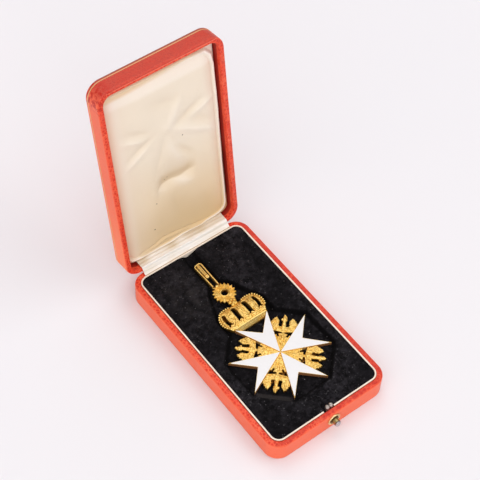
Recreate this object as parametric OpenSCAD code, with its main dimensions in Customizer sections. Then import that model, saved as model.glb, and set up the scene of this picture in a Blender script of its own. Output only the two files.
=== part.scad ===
// Order cross in its presentation case: a white enamelled Maltese cross with four pierced
// gold eagles, a crown, a rayed disc and a ribbon loop, lying in a leather covered case.
// The frame is +Z up, +Y towards the hinge, with the origin at the centre of the underside.

/* [Case] */
// Width of the case over the leather
case_w = 83; // [80:0.5:90]
// Length of the case, from the latch to the hinge
case_l = 143; // [140:0.5:150]
// Radius of the upright corners
corner_r = 9.5; // [8:0.5:11]
// Height of the tray up to its red rim
tray_h = 14.3; // [13:0.1:18]
// Width of the red rim that the lid closes on
rim_w = 3.65; // [3.4:0.05:3.8]
// Thickness of the floor and of the lid's back
board_t = 2; // [1.5:0.1:2.5]

/* [Lip and pad] */
// Thickness of the cream card that lines the tray
lip_t = 0.9; // [0.7:0.1:1.2]
// Height that the cream lip stands above the rim
lip_rise = 0.5; // [0.3:0.1:1]
// Width of the break in the lip at the latch
lip_break_w = 7.4; // [6.4:0.1:9]
// Depth of the velvet top below the lip
pad_sink = 0.6; // [0.4:0.1:1]
// Depth of the pocket that holds the badge
pocket_depth = 3.2; // [2.5:0.1:4]

/* [Lid] */
// Depth of the lid, from its rim to its back
lid_h = 12.8; // [11:0.1:14]
// Width of the lid's rim
lid_rim_w = 3.4; // [3:0.05:3.6]
// Depth of the satin's edge below the lid's rim
lining_sink = 4.5; // [4:0.1:5]
// Height that the satin puffs up in its middle
lining_puff = 1; // [0.5:0.1:1.2]
// Angle that the lid stands open, from closed
open_angle = 98.5; // [90:0.5:105]

/* [Latch and hinge] */
// Sideways place of the push button
latch_x = 0.5; // [-2:0.1:2]
// Height of the push button's axis
button_z = 8.5; // [7:0.1:9]
// Diameter of the push button
button_d = 4; // [3:0.1:4.5]
// Length that the push button stands out of the leather
button_out = 4.8; // [3:0.1:5]
// Diameter of the brass escutcheon round the button
escutcheon_d = 8.5; // [8:0.1:10]
// Radius of the leather covered hinge roll
hinge_roll_r = 1; // [0.8:0.1:1.2]
// Width of the cream satin strip over the hinge
strip_w = 63; // [60:1:66]

/* [Badge] */
// Distance from the cross's centre to the line through an arm's two points
arm_reach = 28.5; // [27:0.1:29]
// Distance from an arm's middle line to each of its points
arm_half = 12.3; // [11.5:0.1:12.6]
// Distance from the cross's centre to the notch between an arm's points
notch_reach = 16.6; // [15:0.1:18]
// Height of the cross at its points
point_h = 2.4; // [2:0.1:2.8]
// Extra height of the cross at its centre
centre_rise = 1.1; // [0.5:0.1:1.6]
// Width of the gold edge round the enamel
edge_w = 0.55; // [0.4:0.05:0.7]
// Thickness of the white enamel
enamel_t = 0.7; // [0.5:0.05:1]
// Height of the crown's domed front over its back
crown_h = 4.8; // [4:0.1:5]
// Number of rays round the disc
rays = 18; // [16:1:20]
// Outer radius of the rayed disc
disc_r = 7.5; // [7:0.1:8]
// Width of the ribbon loop over its two bars
loop_w = 5.7; // [5:0.1:6]

/* [Hidden] */

$fn = 48;
// Small gap between pieces that are pressed or laid together
gap = 0.1;
// Length that a cutting shape runs past what it cuts
over = 1;

lip_w = case_w - 2 * rim_w - 2 * gap;
lip_l = case_l - 2 * rim_w - 2 * gap;
lip_r = corner_r - rim_w - gap;
lip_top = tray_h + lip_rise;
lip_break_x = -0.2;

pad_w = lip_w - 2 * lip_t - 2 * gap;
pad_l = lip_l - 2 * lip_t - 2 * gap;
pad_r = lip_r - lip_t;
pad_top = lip_top - pad_sink;
pocket_z = pad_top - pocket_depth;

catch_x = 0.7;
catch_w = 5;
catch_l = 3.2;

// The hinge axis lies in the plane of the back wall, and half the closing gap over the rim
close_gap = 0.3;
axis_y = case_l / 2;
axis_z = tray_h + close_gap / 2;
roll_l = case_w - 2 * corner_r - 2;
roll_clear = 0.25;

lining_side_gap = 0.5;
lining_end_gap = 0.8;
lining_w = case_w - 2 * (lid_rim_w + lining_side_gap);
lining_l = case_l - 2 * (lid_rim_w + lining_end_gap);
lining_t = lid_h - board_t - lining_sink - gap;

// Place of the cross's centre, and its small turn as it lies in the pocket
badge_at = [1, -21.7, pocket_z + gap];
badge_turn = 0.6;
// The crown and the disc lean a little about the line through the upper points
lean = 2;
point_r = norm([arm_half, arm_reach]);
notch_slope = atan2(arm_half, arm_reach - notch_reach);

crown_foot_y = arm_reach - 3.4;
crown_band_y = arm_reach - 0.4;
crown_body_y = arm_reach + 0.5;
crown_lobe = [7.9, 35.7];
crown_lobe_r = 7.4;
crown_side = crown_lobe.x + crown_lobe_r;
crown_top_y = 42.6;
crown_wall = 1.3;
neck_pearl_r = 1;
// Half of a length that is longer than the crown is wide
crown_run = 20;

disc_at = [0, crown_top_y + 2 * neck_pearl_r + disc_r];
disc_z = 1.9;
disc_t = 1.6;
disc_hole_r = 1.6;
ray_h = 1.3;
eyelet_r = 1;

// The ribbon loop lies straight, and its near end passes under the disc
loop_x = -1.75;
loop_y0 = disc_at.y + 4.6;
loop_y1 = loop_y0 + 22.5;
bar_t = 0.9;
bar_h = 2.8;
tongue_w = 1.7;
tongue_l = 12.5;

// Plan outline of a box with round corners
module rounded_rect(w, l, r) {
    square([w - 2 * r, l], center = true);
    square([w, l - 2 * r], center = true);
    for (sx = [-1, 1], sy = [-1, 1])
        translate([sx * (w / 2 - r), sy * (l / 2 - r)])
            circle(r);
}

// Carries a wall's section round a box; the section's x counts from the corner's centre
module wall_round(w, l, r) {
    for (turn = [0, 90, 180, 270]) {
        long_side = turn % 180 == 0;
        half_x = (long_side ? w : l) / 2 - r;
        half_y = (long_side ? l : w) / 2 - r;
        rotate([0, 0, turn]) {
            translate([half_x, half_y, 0])
                rotate_extrude(angle = 90)
                    children();
            translate([half_x, half_y, 0])
                rotate([90, 0, 0])
                    linear_extrude(2 * half_y)
                        children();
        }
    }
}

// Section of a covered wall with soft outer edges and a softer inner top edge
module wall_section(x0, x1, h, top_r, foot_r, inner_r) {
    difference() {
        translate([x0, 0])
            square([x1 - x0, h]);
        translate([x1 - top_r, h - top_r])
            edge_cut(top_r);
        translate([x1 - foot_r, foot_r])
            mirror([0, 1])
                edge_cut(foot_r);
        if (inner_r > 0)
            translate([x0 + inner_r, h - inner_r])
                mirror([1, 0])
                    edge_cut(inner_r);
    }
}

// What is cut away outside a quarter circle
module edge_cut(r) {
    difference() {
        square([r + over, r + over]);
        circle(r);
    }
}

// Groove that the hinge roll lies in, along the hinge axis
module roll_groove() {
    translate([-roll_l / 2 - roll_clear, axis_y, axis_z])
        rotate([0, 90, 0])
            cylinder(h = roll_l + 2 * roll_clear, r = hinge_roll_r + roll_clear);
}

module tray() {
    color("firebrick")
        difference() {
            union() {
                wall_round(case_w, case_l, corner_r)
                    wall_section(corner_r - rim_w, corner_r, tray_h, 1.2, 1, 0.4);
                linear_extrude(board_t)
                    rounded_rect(case_w - rim_w, case_l - rim_w, corner_r - rim_w / 2);
            }
            roll_groove();
            translate([latch_x, -case_l / 2 - over, button_z])
                rotate([-90, 0, 0])
                    cylinder(h = over + rim_w - 0.8, d = button_d + 0.2);
        }
}

// Cream card wall whose top edge shows as the lip round the velvet
module tray_lip() {
    color("linen")
        difference() {
            translate([0, 0, board_t + gap])
                linear_extrude(lip_top - board_t - gap)
                    difference() {
                        rounded_rect(lip_w, lip_l, lip_r);
                        rounded_rect(lip_w - 2 * lip_t, lip_l - 2 * lip_t, lip_r - lip_t);
                    }
            translate([lip_break_x - lip_break_w / 2, -lip_l / 2 - over, pocket_z - gap])
                cube([lip_break_w, lip_t + 2 * over, lip_top]);
        }
}

// Plan of the pocket that the badge lies in, with its channel to the back
module pocket_plan() {
    clear = 1.2;
    a = arm_half + clear / 2;
    b = arm_reach + clear;
    channel_half = loop_w / 2 + 0.6;
    crown_clear = crown_side + 1;
    translate([badge_at.x, badge_at.y])
        rotate(badge_turn) {
            polygon([[a, b], [-a, b], [-b, a], [-b, -a], [-a, -b], [a, -b], [b, -a], [b, a]]);
            // Round the crown and the disc, then narrow round the loop
            polygon([
                [-crown_clear, b - 2],
                [-crown_clear, crown_lobe.y + 2],
                [-disc_r - 4.2, disc_at.y - 3],
                [-disc_r - 1.8, disc_at.y + 4],
                [loop_x - channel_half, disc_at.y + 10],
                [loop_x - channel_half, disc_at.y + 40],
                [loop_x + channel_half, disc_at.y + 40],
                [loop_x + channel_half, disc_at.y + 10],
                [disc_r + 0.2, disc_at.y + 4],
                [disc_r + 2.6, disc_at.y - 3],
                [crown_clear, crown_lobe.y + 2],
                [crown_clear, b - 2]
            ]);
        }
}

module velvet_pad() {
    pad_edge_w = 3;
    color("black")
        difference() {
            translate([0, 0, board_t + gap])
                union() {
                    wall_round(pad_w, pad_l, pad_r)
                        wall_section(pad_r - pad_edge_w, pad_r, pad_top - board_t - gap, 0.8, 0.2, 0);
                    linear_extrude(pad_top - board_t - gap)
                        rounded_rect(pad_w - pad_edge_w, pad_l - pad_edge_w, pad_r - pad_edge_w / 2);
                }
            translate([0, 0, pocket_z])
                linear_extrude(pocket_depth + over)
                    pocket_plan();
            // Room for the catch
            translate([catch_x, -pad_l / 2, pocket_z - gap])
                linear_extrude(pocket_depth + over)
                    rounded_rect(catch_w + 1, 2 * catch_l + 2, 1);
        }
}

// Steel catch inside the front wall: a foot with two rounded lugs
module catch() {
    foot_h = 2.6;
    lug_r = 1.15;
    lug_z = pocket_depth + 0.6;
    color("silver")
        translate([catch_x, -lip_l / 2 + 0.4 + catch_l / 2, pocket_z]) {
            linear_extrude(foot_h)
                rounded_rect(catch_w, catch_l, 0.6);
            for (side = [-1, 1])
                translate([side * (catch_w / 2 - lug_r), catch_l / 2, lug_z])
                    rotate([90, 0, 0]) {
                        cylinder(h = catch_l, r = lug_r);
                        translate([-lug_r, foot_h - lug_z - 0.4, 0])
                            cube([2 * lug_r, lug_z - foot_h + 0.4, catch_l]);
                    }
        }
}

// Brass flange round the button, with a raised bead at its edge
module escutcheon() {
    bead_r = 0.45;
    color("goldenrod")
        translate([latch_x, -case_l / 2 - gap, button_z])
            rotate([90, 0, 0])
                difference() {
                    union() {
                        cylinder(h = 0.5, d = escutcheon_d);
                        translate([0, 0, 0.4])
                            rotate_extrude()
                                translate([escutcheon_d / 2 - bead_r, 0])
                                    circle(bead_r, $fn = 24);
                        cylinder(h = 1.1, d = button_d + 1.6);
                    }
                    translate([0, 0, -over])
                        cylinder(h = 2 * over + 2, d = button_d + 0.2);
                }
}

// Push button: a brass stem with a rounded steel end
module push_button() {
    stem_in = rim_w - 1;
    tip_r = 0.7;
    color("silver")
        translate([latch_x, -case_l / 2 + stem_in, button_z])
            rotate([90, 0, 0])
                rotate_extrude()
                    difference() {
                        square([button_d / 2, stem_in + button_out]);
                        translate([button_d / 2 - tip_r, stem_in + button_out - tip_r])
                            edge_cut(tip_r);
                    }
}

// Leather covered roll that the lid turns on
module hinge_roll() {
    color("firebrick")
        translate([-roll_l / 2, axis_y, axis_z])
            rotate([0, 90, 0])
                cylinder(h = roll_l, r = hinge_roll_r);
}

// Section of the satin strip, from the lip over the two rims to the lid's lining
module hinge_strip() {
    strip_t = 0.5;
    start = [lip_l / 2 + gap, lip_top - 0.35];
    middle = [axis_y + 0.35, axis_z + lid_rim_w + 0.35];
    finish = [axis_y + lining_sink - 0.1, axis_z + lid_rim_w - 0.15];
    color("linen")
        translate([-strip_w / 2, 0, 0])
            rotate([90, 0, 90])
                linear_extrude(strip_w)
                    polygon([
                        start,
                        middle - [0, strip_t / 2],
                        finish,
                        finish + [0.05, strip_t],
                        middle + [0, strip_t],
                        start + [0.1, strip_t]
                    ]);
}

// Turns what is modelled closed into its open place
module opened() {
    translate([0, axis_y, axis_z])
        rotate([-open_angle, 0, 0])
            translate([0, -axis_y, close_gap / 2])
                children();
}

module lid() {
    color("firebrick")
        difference() {
            opened() {
                translate([0, 0, lid_h])
                    mirror([0, 0, 1]) {
                        wall_round(case_w, case_l, corner_r)
                            wall_section(corner_r - lid_rim_w, corner_r, lid_h, 1.1, 1.4, 0.4);
                        linear_extrude(board_t)
                            rounded_rect(case_w - lid_rim_w, case_l - lid_rim_w, corner_r - lid_rim_w / 2);
                    }
            }
            roll_groove();
        }
}

// Padded satin board: a flat edge round a raised middle in two soft steps
module lid_lining() {
    lining_r = 5.5;
    puff_inset = 7;
    color("linen")
        opened()
            translate([0, 0, lining_sink]) {
                linear_extrude(lining_t)
                    rounded_rect(lining_w, lining_l, lining_r);
                for (step = [1, 2])
                    translate([0, 0, -step * lining_puff / 2])
                        linear_extrude(lining_puff)
                            rounded_rect(
                                lining_w - 2 * step * puff_inset,
                                lining_l - 2 * step * puff_inset,
                                lining_r + step * 3
                            );
            }
}

// Puts the badge in its pocket
module in_pocket() {
    translate(badge_at)
        rotate([0, 0, badge_turn])
            children();
}

// Puts the crown and the disc in the pocket, leaning about the upper points
module leaning() {
    in_pocket()
        translate([0, arm_reach, 0])
            rotate([0, 0, lean])
                translate([0, -arm_reach, 0])
                    children();
}

// One arm that points along +Y, with its edges drawn in by inset
module arm_plan(inset) {
    long_slope = atan2(arm_half, arm_reach);
    foot = inset / sin(long_slope);
    notch = notch_reach - inset / sin(notch_slope);
    // Each point is where a long edge meets a notch edge
    tip_y = (notch * tan(notch_slope) - foot * tan(long_slope)) / (tan(notch_slope) - tan(long_slope));
    tip_x = (tip_y - foot) * tan(long_slope);
    polygon([[0, foot], [tip_x, tip_y], [0, notch], [-tip_x, tip_y]]);
}

// Outline of one cast eagle and the gold that it grows from, along +X from the centre
module eagle_plan() {
    wing_out = [20.2, 8.3];
    wing_tip = [24.6, 5.6];
    wing_inner = [22.1, 2.9];
    notch_at = [19.3, 2.3];
    tip_r = 0.9;
    difference() {
        union() {
            polygon([
                [0, 0],
                [wing_out.x, -wing_out.y],
                [wing_tip.x, -wing_tip.y],
                [wing_inner.x, -wing_inner.y],
                [notch_at.x, -notch_at.y],
                notch_at,
                wing_inner,
                wing_tip,
                wing_out
            ]);
            for (side = [-1, 1])
                translate([wing_tip.x - 0.6, side * (wing_tip.y - 0.5)])
                    circle(tip_r);
            eagle_head();
        }
        for (side = [-1, 1]) {
            // Rounded end of the gap between the neck and a wing
            translate([notch_at.x, side * notch_at.y])
                circle(0.85);
            // Gap between the tail and a wing, with a spur along the tail
            polygon([
                [14.4, side * 0.6],
                [14.9, side * 6.3],
                [12.9, side * 5.6],
                [12.3, side * 3.9],
                [11.2, side * 2.5],
                [12.7, side * 2.7],
                [13.7, side * 0.6]
            ]);
        }
    }
}

// Neck, and a head that looks to one side under a pointed crest
module eagle_head() {
    polygon([
        [18.2, -1.7], [22, -1], [23.4, -1.7], [24.9, -1.5], [26.8, 0],
        [24.9, 1.2], [23.9, 1.2], [23.1, 2.2], [22.4, 1], [21.4, 0.8], [18.2, 1.4]
    ]);
}

// Breast, wing feathers and tail ribs that stand out of the casting
module eagle_relief_plan() {
    feather_w = 0.6;
    translate([16.8, 0])
        circle(1.9);
    for (t = [-1.1, 0, 1.1])
        translate([9.4, t - 0.2])
            square([3.2, 0.4]);
    for (side = [-1, 1], k = [0:2])
        translate([15.8 + 0.6 * k, side * (2.9 + 1.5 * k) - feather_w / 2])
            rotate(side * (18 - 8 * k))
                square([6 - 0.9 * k, feather_w]);
}

// Everything below the shallow cone that the enamelled face follows
module below_face(sink) {
    cone_h = 8;
    cone_r = cone_h * point_r / centre_rise;
    translate([0, 0, point_h + centre_rise - sink - cone_h])
        cylinder(h = cone_h, r1 = cone_r, r2 = 0, $fn = 96);
}

// Raises a plan from the back of the badge to sink below the enamelled face
module raised(from_z, sink) {
    intersection() {
        translate([0, 0, from_z])
            linear_extrude(point_h + centre_rise)
                children();
        below_face(sink);
    }
}

module cross_frame() {
    eagle_from_z = 0.3;
    eagle_sink = 0.7;
    relief_h = 0.35;
    color("gold")
        in_pocket() {
            difference() {
                raised(0, 0) {
                    circle(1);
                    for (turn = [0:90:270])
                        rotate(turn)
                            arm_plan(0);
                }
                difference() {
                    linear_extrude(point_h + centre_rise + over)
                        for (turn = [0:90:270])
                            rotate(turn)
                                arm_plan(edge_w);
                    below_face(enamel_t + 0.05);
                }
            }
            // Each eagle looks towards the upper or the lower arm
            for (eagle = [[45, 0], [135, 1], [225, 0], [315, 1]])
                rotate([0, 0, eagle[0]])
                    mirror([0, eagle[1], 0]) {
                        raised(eagle_from_z, eagle_sink)
                            eagle_plan();
                        raised(eagle_from_z, eagle_sink - relief_h)
                            eagle_relief_plan();
                    }
        }
}

// White enamel of one arm
module arm_enamel(turn) {
    color("white")
        in_pocket()
            rotate([0, 0, turn])
                difference() {
                    intersection() {
                        linear_extrude(point_h + centre_rise)
                            arm_plan(edge_w + 0.05);
                        below_face(0);
                    }
                    below_face(enamel_t);
                }
}

module enamel_up() {
    arm_enamel(0);
}

module enamel_left() {
    arm_enamel(90);
}

module enamel_down() {
    arm_enamel(180);
}

module enamel_right() {
    arm_enamel(270);
}

// Front outline of the crown over its band: sides that flare into two round lobes
module crown_plan(inset) {
    flare = [14.6, 32.5];
    band_half = 12;
    top_half = 5;
    for (side = [-1, 1])
        translate([side * crown_lobe.x, crown_lobe.y])
            circle(crown_lobe_r - inset);
    translate([-top_half, crown_lobe.y])
        square([2 * top_half, crown_top_y - crown_lobe.y - inset]);
    polygon([
        [-band_half + inset, crown_body_y + inset],
        [band_half - inset, crown_body_y + inset],
        [flare.x - inset, flare.y],
        [crown_lobe.x, crown_lobe.y],
        [-crown_lobe.x, crown_lobe.y],
        [inset - flare.x, flare.y]
    ]);
}

// The crown's solid under a front that bows from side to side and over the top
module crown_dome(inset) {
    side_drop = 1.8;
    top_drop = 2;
    side_r = (crown_side * crown_side + side_drop * side_drop) / (2 * side_drop);
    top_run = crown_lobe_r;
    top_r = (top_run * top_run + top_drop * top_drop) / (2 * top_drop);
    intersection() {
        translate([0, 0, inset > 0 ? -over : 0])
            linear_extrude(crown_h + over)
                crown_plan(inset);
        translate([0, crown_foot_y, crown_h - side_r])
            rotate([-90, 0, 0])
                cylinder(h = crown_run, r = side_r - inset, $fn = 240);
        union() {
            translate([-crown_run, crown_lobe.y, crown_h - top_r])
                rotate([0, 90, 0])
                    cylinder(h = 2 * crown_run, r = top_r - inset, $fn = 120);
            translate([-crown_run, crown_foot_y, -2 * over])
                cube([2 * crown_run, crown_lobe.y - crown_foot_y, crown_h - inset + 2 * over]);
        }
    }
}

// The four slots between the crown's arches, each with a small leaf at its foot
module crown_slots() {
    slot_y = 32;
    slot_l = 7.6;
    leaf_r = 0.7;
    for (side = [-1, 1], slot = [[4.4, 2.7], [11.3, 1.5]])
        translate([side * slot[0], slot_y])
            difference() {
                union() {
                    translate([-slot[1] / 2, 0])
                        square([slot[1], slot_l]);
                    translate([0, slot_l])
                        circle(slot[1] / 2);
                }
                circle(slot[1] / 2 - 0.5 * leaf_r);
            }
}

module crown() {
    color("gold") {
        leaning() {
            difference() {
                crown_dome(0);
                crown_dome(crown_wall);
                linear_extrude(crown_h + over)
                    crown_slots();
            }
            for (side = [-1, 1])
                translate([side * 0.95, crown_top_y + neck_pearl_r - 0.1, disc_z + disc_t / 2])
                    sphere(neck_pearl_r, $fn = 24);
        }
        in_pocket()
            crown_foot();
    }
}

// Band of the crown: a ridge, and a slope down into the notch between the upper points
module crown_foot() {
    clear = 0.2;
    ridge = [1.3, 4.1];
    low_h = 1.6;
    foot_half = (crown_foot_y - notch_reach) * tan(notch_slope) - clear;
    band_half = (crown_band_y - notch_reach) * tan(notch_slope) - clear;
    intersection() {
        linear_extrude(crown_h)
            polygon([
                [-foot_half, crown_foot_y],
                [foot_half, crown_foot_y],
                [band_half, crown_band_y],
                [band_half, crown_band_y + ridge[0]],
                [-band_half, crown_band_y + ridge[0]],
                [-band_half, crown_band_y]
            ]);
        translate([-crown_run, 0, 0])
            rotate([90, 0, 90])
                linear_extrude(2 * crown_run)
                    polygon([
                        [crown_foot_y, 0],
                        [crown_foot_y, low_h],
                        [crown_band_y, ridge[1]],
                        [crown_band_y + ridge[0], ridge[1]],
                        [crown_band_y + ridge[0], 0]
                    ]);
    }
}

// Rayed disc with a ring round its hole, and an eyelet whose post stands inside the loop
module rayed_disc() {
    eyelet_at = [-1, disc_r - ray_h + 0.1];
    post_r = 0.6;
    color("gold")
        leaning()
            translate([0, disc_at.y, disc_z]) {
                difference() {
                    union() {
                        linear_extrude(disc_t)
                            ray_plan();
                        cylinder(h = disc_t + 0.4, r = disc_hole_r + 1);
                    }
                    translate([0, 0, -over])
                        cylinder(h = disc_t + 3 * over, r = disc_hole_r);
                }
                translate([eyelet_at.x, eyelet_at.y, gap - disc_z])
                    cylinder(h = disc_z + disc_t - gap, r = post_r);
                translate([eyelet_at.x, eyelet_at.y, disc_t])
                    sphere(eyelet_r, $fn = 24);
            }
}

// Star of pointed rays that all lean a little the same way
module ray_plan() {
    root_r = disc_r - ray_h;
    half_ray = 180 / rays;
    lean_of_ray = 4;
    circle(root_r);
    polygon([
        for (k = [0:rays - 1], point = [0, 1])
            let (turn = (2 * k + point) * half_ray + point * lean_of_ray)
                (point == 0 ? disc_r : root_r - 0.1) * [cos(turn), sin(turn)]
    ]);
}

// Outline of the ribbon loop, which narrows a little towards the disc
module loop_plan(inset) {
    far_half = loop_w / 2;
    near_half = far_half - 0.4;
    bevel = 1.2;
    polygon([
        [-near_half + bevel, loop_y0 + inset],
        [-near_half + inset, loop_y0 + bevel],
        [-far_half + inset, loop_y1 - bevel],
        [-far_half + bevel, loop_y1 - inset],
        [far_half - bevel, loop_y1 - inset],
        [far_half - inset, loop_y1 - bevel],
        [near_half - inset, loop_y0 + bevel],
        [near_half - bevel, loop_y0 + inset]
    ]);
}

// Ribbon loop: a strip on edge bent to a long loop, lower where it passes under the disc
module ribbon_loop() {
    low_h = disc_z - 0.2;
    low_y = disc_at.y + disc_r + 0.3;
    color("gold")
        in_pocket()
            translate([loop_x, 0, 0])
                difference() {
                    linear_extrude(bar_h)
                        difference() {
                            loop_plan(0);
                            loop_plan(bar_t);
                        }
                    translate([-loop_w, loop_y0 - over, low_h])
                        cube([2 * loop_w, low_y - loop_y0 + over, bar_h]);
                }
}

// Ribbed tongue inside the loop, from its far end
module loop_tongue() {
    tongue_x = -0.7;
    color("gold")
        in_pocket()
            translate([loop_x + tongue_x, loop_y1 - bar_t - gap - tongue_l / 2, bar_h - 1.1])
                linear_extrude(1.2)
                    rounded_rect(tongue_w, tongue_l, tongue_w / 2 - 0.05);
}

tray();
tray_lip();
velvet_pad();
catch();
escutcheon();
push_button();
hinge_roll();
hinge_strip();
lid();
lid_lining();
cross_frame();
enamel_up();
enamel_left();
enamel_down();
enamel_right();
crown();
rayed_disc();
ribbon_loop();
loop_tongue();
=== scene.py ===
import math
from collections import namedtuple

import bmesh
import bpy
import numpy as np
from mathutils import Matrix, Vector


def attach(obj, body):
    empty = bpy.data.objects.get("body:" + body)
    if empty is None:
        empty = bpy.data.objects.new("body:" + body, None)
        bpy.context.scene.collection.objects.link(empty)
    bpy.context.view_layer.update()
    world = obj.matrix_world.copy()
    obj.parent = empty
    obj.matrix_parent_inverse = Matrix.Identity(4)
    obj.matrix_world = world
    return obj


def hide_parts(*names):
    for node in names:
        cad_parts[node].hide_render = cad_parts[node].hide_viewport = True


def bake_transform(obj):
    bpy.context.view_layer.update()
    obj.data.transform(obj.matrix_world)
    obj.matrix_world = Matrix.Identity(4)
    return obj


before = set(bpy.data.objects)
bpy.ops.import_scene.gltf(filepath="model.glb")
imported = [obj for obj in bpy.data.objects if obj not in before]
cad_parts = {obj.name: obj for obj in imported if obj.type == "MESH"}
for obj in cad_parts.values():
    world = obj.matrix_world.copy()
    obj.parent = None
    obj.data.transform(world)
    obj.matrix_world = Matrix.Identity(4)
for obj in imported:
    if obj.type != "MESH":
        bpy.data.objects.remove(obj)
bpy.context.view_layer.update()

# Sizes are in millimetres until a mesh is made
MM = 0.001

CASE_W = 83
CASE_L = 143
CORNER_R = 9.5
TRAY_H = 14.3
PAD_TOP = 14.2
POCKET_DEPTH = 3.2
PAD_BASE = 2.1
PAD_W = 73.5
PAD_L = 133.5
PAD_R = 4.85

LID_H = 12.8
LINING_SINK = 4.5
LINING_W = 75.2
LINING_L = 134.6
LINING_R = 5.5
AXIS_Y = 71.5
AXIS_Z = 14.45
CLOSE_GAP = 0.3
OPEN_ANGLE = 98.5

LATCH_X = 0.5
BUTTON_Z = 8.5

BADGE_AT = (1.0, -21.7, 11.1)
BADGE_TURN = 0.6
LEAN = 2.0
ARM_REACH = 28.5
ARM_HALF = 12.3
NOTCH_REACH = 16.6
POINT_H = 2.4
CENTRE_RISE = 1.1
POINT_R = math.hypot(ARM_REACH, ARM_HALF)

CROWN_H = 4.8
CROWN_LOBE = (7.9, 35.7)
CROWN_LOBE_R = 7.4
CROWN_TOP_Y = 42.6
CROWN_FOOT_Y = 25.1
CROWN_BAND_Y = 28.1

DISC_AT = (0.0, 52.1)
DISC_R = 7.5
DISC_Z = 1.9
DISC_T = 1.6
DISC_HOLE_R = 1.6
RAY_H = 1.3
RAYS = 18

LOOP_X = -1.75
LOOP_Y0 = 56.7
LOOP_Y1 = 79.2
LOOP_HALF = 2.85


# Places


def turned(points, degrees):
    """Points turned about the z axis"""
    c, s = math.cos(math.radians(degrees)), math.sin(math.radians(degrees))
    x, y = points[:, 0], points[:, 1]
    return np.stack([x * c - y * s, x * s + y * c, points[:, 2]], 1)


def in_pocket(points):
    """From the badge's own frame to the part's frame"""
    return turned(points, BADGE_TURN) + np.array(BADGE_AT)


def leaning(points):
    """The crown's and the disc's place, which leans about the upper points"""
    pivot = np.array([0, ARM_REACH, 0])
    return in_pocket(turned(points - pivot, LEAN) + pivot)


def moved(place, x, y):
    """The same place for something that is first moved by x and y"""
    return lambda points: place(points + np.array([x, y, 0]))


def opened(points):
    """From the closed lid's place to the open one"""
    c, s = math.cos(math.radians(-OPEN_ANGLE)), math.sin(math.radians(-OPEN_ANGLE))
    y, z = points[:, 1] - AXIS_Y, points[:, 2] + CLOSE_GAP / 2
    return np.stack([points[:, 0], AXIS_Y + y * c - z * s, AXIS_Z + y * s + z * c], 1)


# Shapes in the plane, as signed distances that are negative inside


def polygon_distance(x, y, corners):
    """Distance from a polygon's edge"""
    nearest = np.full(x.shape, np.inf)
    inside = np.zeros(x.shape, bool)
    for (ax, ay), (bx, by) in zip(corners, corners[1:] + corners[:1]):
        ex, ey = bx - ax, by - ay
        wx, wy = x - ax, y - ay
        t = np.clip((wx * ex + wy * ey) / (ex * ex + ey * ey), 0, 1)
        nearest = np.minimum(nearest, np.hypot(wx - t * ex, wy - t * ey))
        rise = ey if abs(ey) > 1e-12 else 1e-12
        inside ^= ((ay > y) != (by > y)) & (x < ax + (y - ay) * ex / rise)
    return np.where(inside, -nearest, nearest)


def line_distance(x, y, a, b):
    """Distance from the straight stretch a to b"""
    ex, ey = b[0] - a[0], b[1] - a[1]
    t = np.clip(((x - a[0]) * ex + (y - a[1]) * ey) / (ex * ex + ey * ey), 0, 1)
    return np.hypot(x - a[0] - t * ex, y - a[1] - t * ey)


def path_distance(x, y, points):
    """Distance from a line through points"""
    return np.min([line_distance(x, y, a, b) for a, b in zip(points, points[1:])], axis=0)


def circle_distance(x, y, cx, cy, r):
    return np.hypot(x - cx, y - cy) - r


def rounded_rect_distance(x, y, w, l, r):
    dx, dy = np.abs(x) - w / 2 + r, np.abs(y) - l / 2 + r
    outside = np.hypot(np.maximum(dx, 0), np.maximum(dy, 0))
    return outside + np.minimum(np.maximum(dx, dy), 0) - r


def smooth_step(edge0, edge1, value):
    """0 before edge0 and 1 past edge1, whichever is the larger"""
    t = np.clip((value - edge0) / (edge1 - edge0), 0, 1)
    return t * t * (3 - 2 * t)


def bell(value, centre, width):
    """1 at the centre, fading to both sides"""
    return np.exp(-((value - centre) / width) ** 2)


def ridge(distance, half_width):
    """A round-topped ridge, 1 high on its line and 0 from half_width out"""
    return np.sqrt(np.clip(1 - (distance / half_width) ** 2, 0, 1))


def rounded_edge(depth, r):
    """Drop of a surface near its edge, where depth is how far inside the edge it is"""
    near = np.clip(r - depth, 0, r)
    return r - np.sqrt(np.maximum(r * r - near * near, 0))


# Noise that is the same each run


def cell_distance(x, y, size, seed):
    """Distance to the nearest of scattered points, in cell sizes"""
    table = np.random.default_rng(seed).random((64, 64, 2))
    gx, gy = np.floor(x / size).astype(int), np.floor(y / size).astype(int)
    nearest = np.full(x.shape, np.inf)
    for dx in (-1, 0, 1):
        for dy in (-1, 0, 1):
            jitter = table[(gx + dx) % 64, (gy + dy) % 64]
            px = (gx + dx + 0.15 + 0.7 * jitter[..., 0]) * size
            py = (gy + dy + 0.15 + 0.7 * jitter[..., 1]) * size
            nearest = np.minimum(nearest, np.hypot(x - px, y - py) / size)
    return nearest


def wave_noise(x, y, size, seed):
    """Smooth noise from -1 to 1 whose lumps are about size across"""
    table = np.random.default_rng(seed).random((128, 128)) * 2 - 1
    gx, gy = np.floor(x / size).astype(int), np.floor(y / size).astype(int)
    fx, fy = x / size - gx, y / size - gy
    fx, fy = fx * fx * (3 - 2 * fx), fy * fy * (3 - 2 * fy)
    a, b = table[gx % 128, gy % 128], table[(gx + 1) % 128, gy % 128]
    c, d = table[gx % 128, (gy + 1) % 128], table[(gx + 1) % 128, (gy + 1) % 128]
    return (a * (1 - fx) + b * fx) * (1 - fy) + (c * (1 - fx) + d * fx) * fy


def grains(x, y, size, seed):
    """Cast grain: packed round grains, 1 on top of each and 0 between them"""
    return ridge(cell_distance(x, y, size, seed), 0.62)


# Meshes


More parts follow.
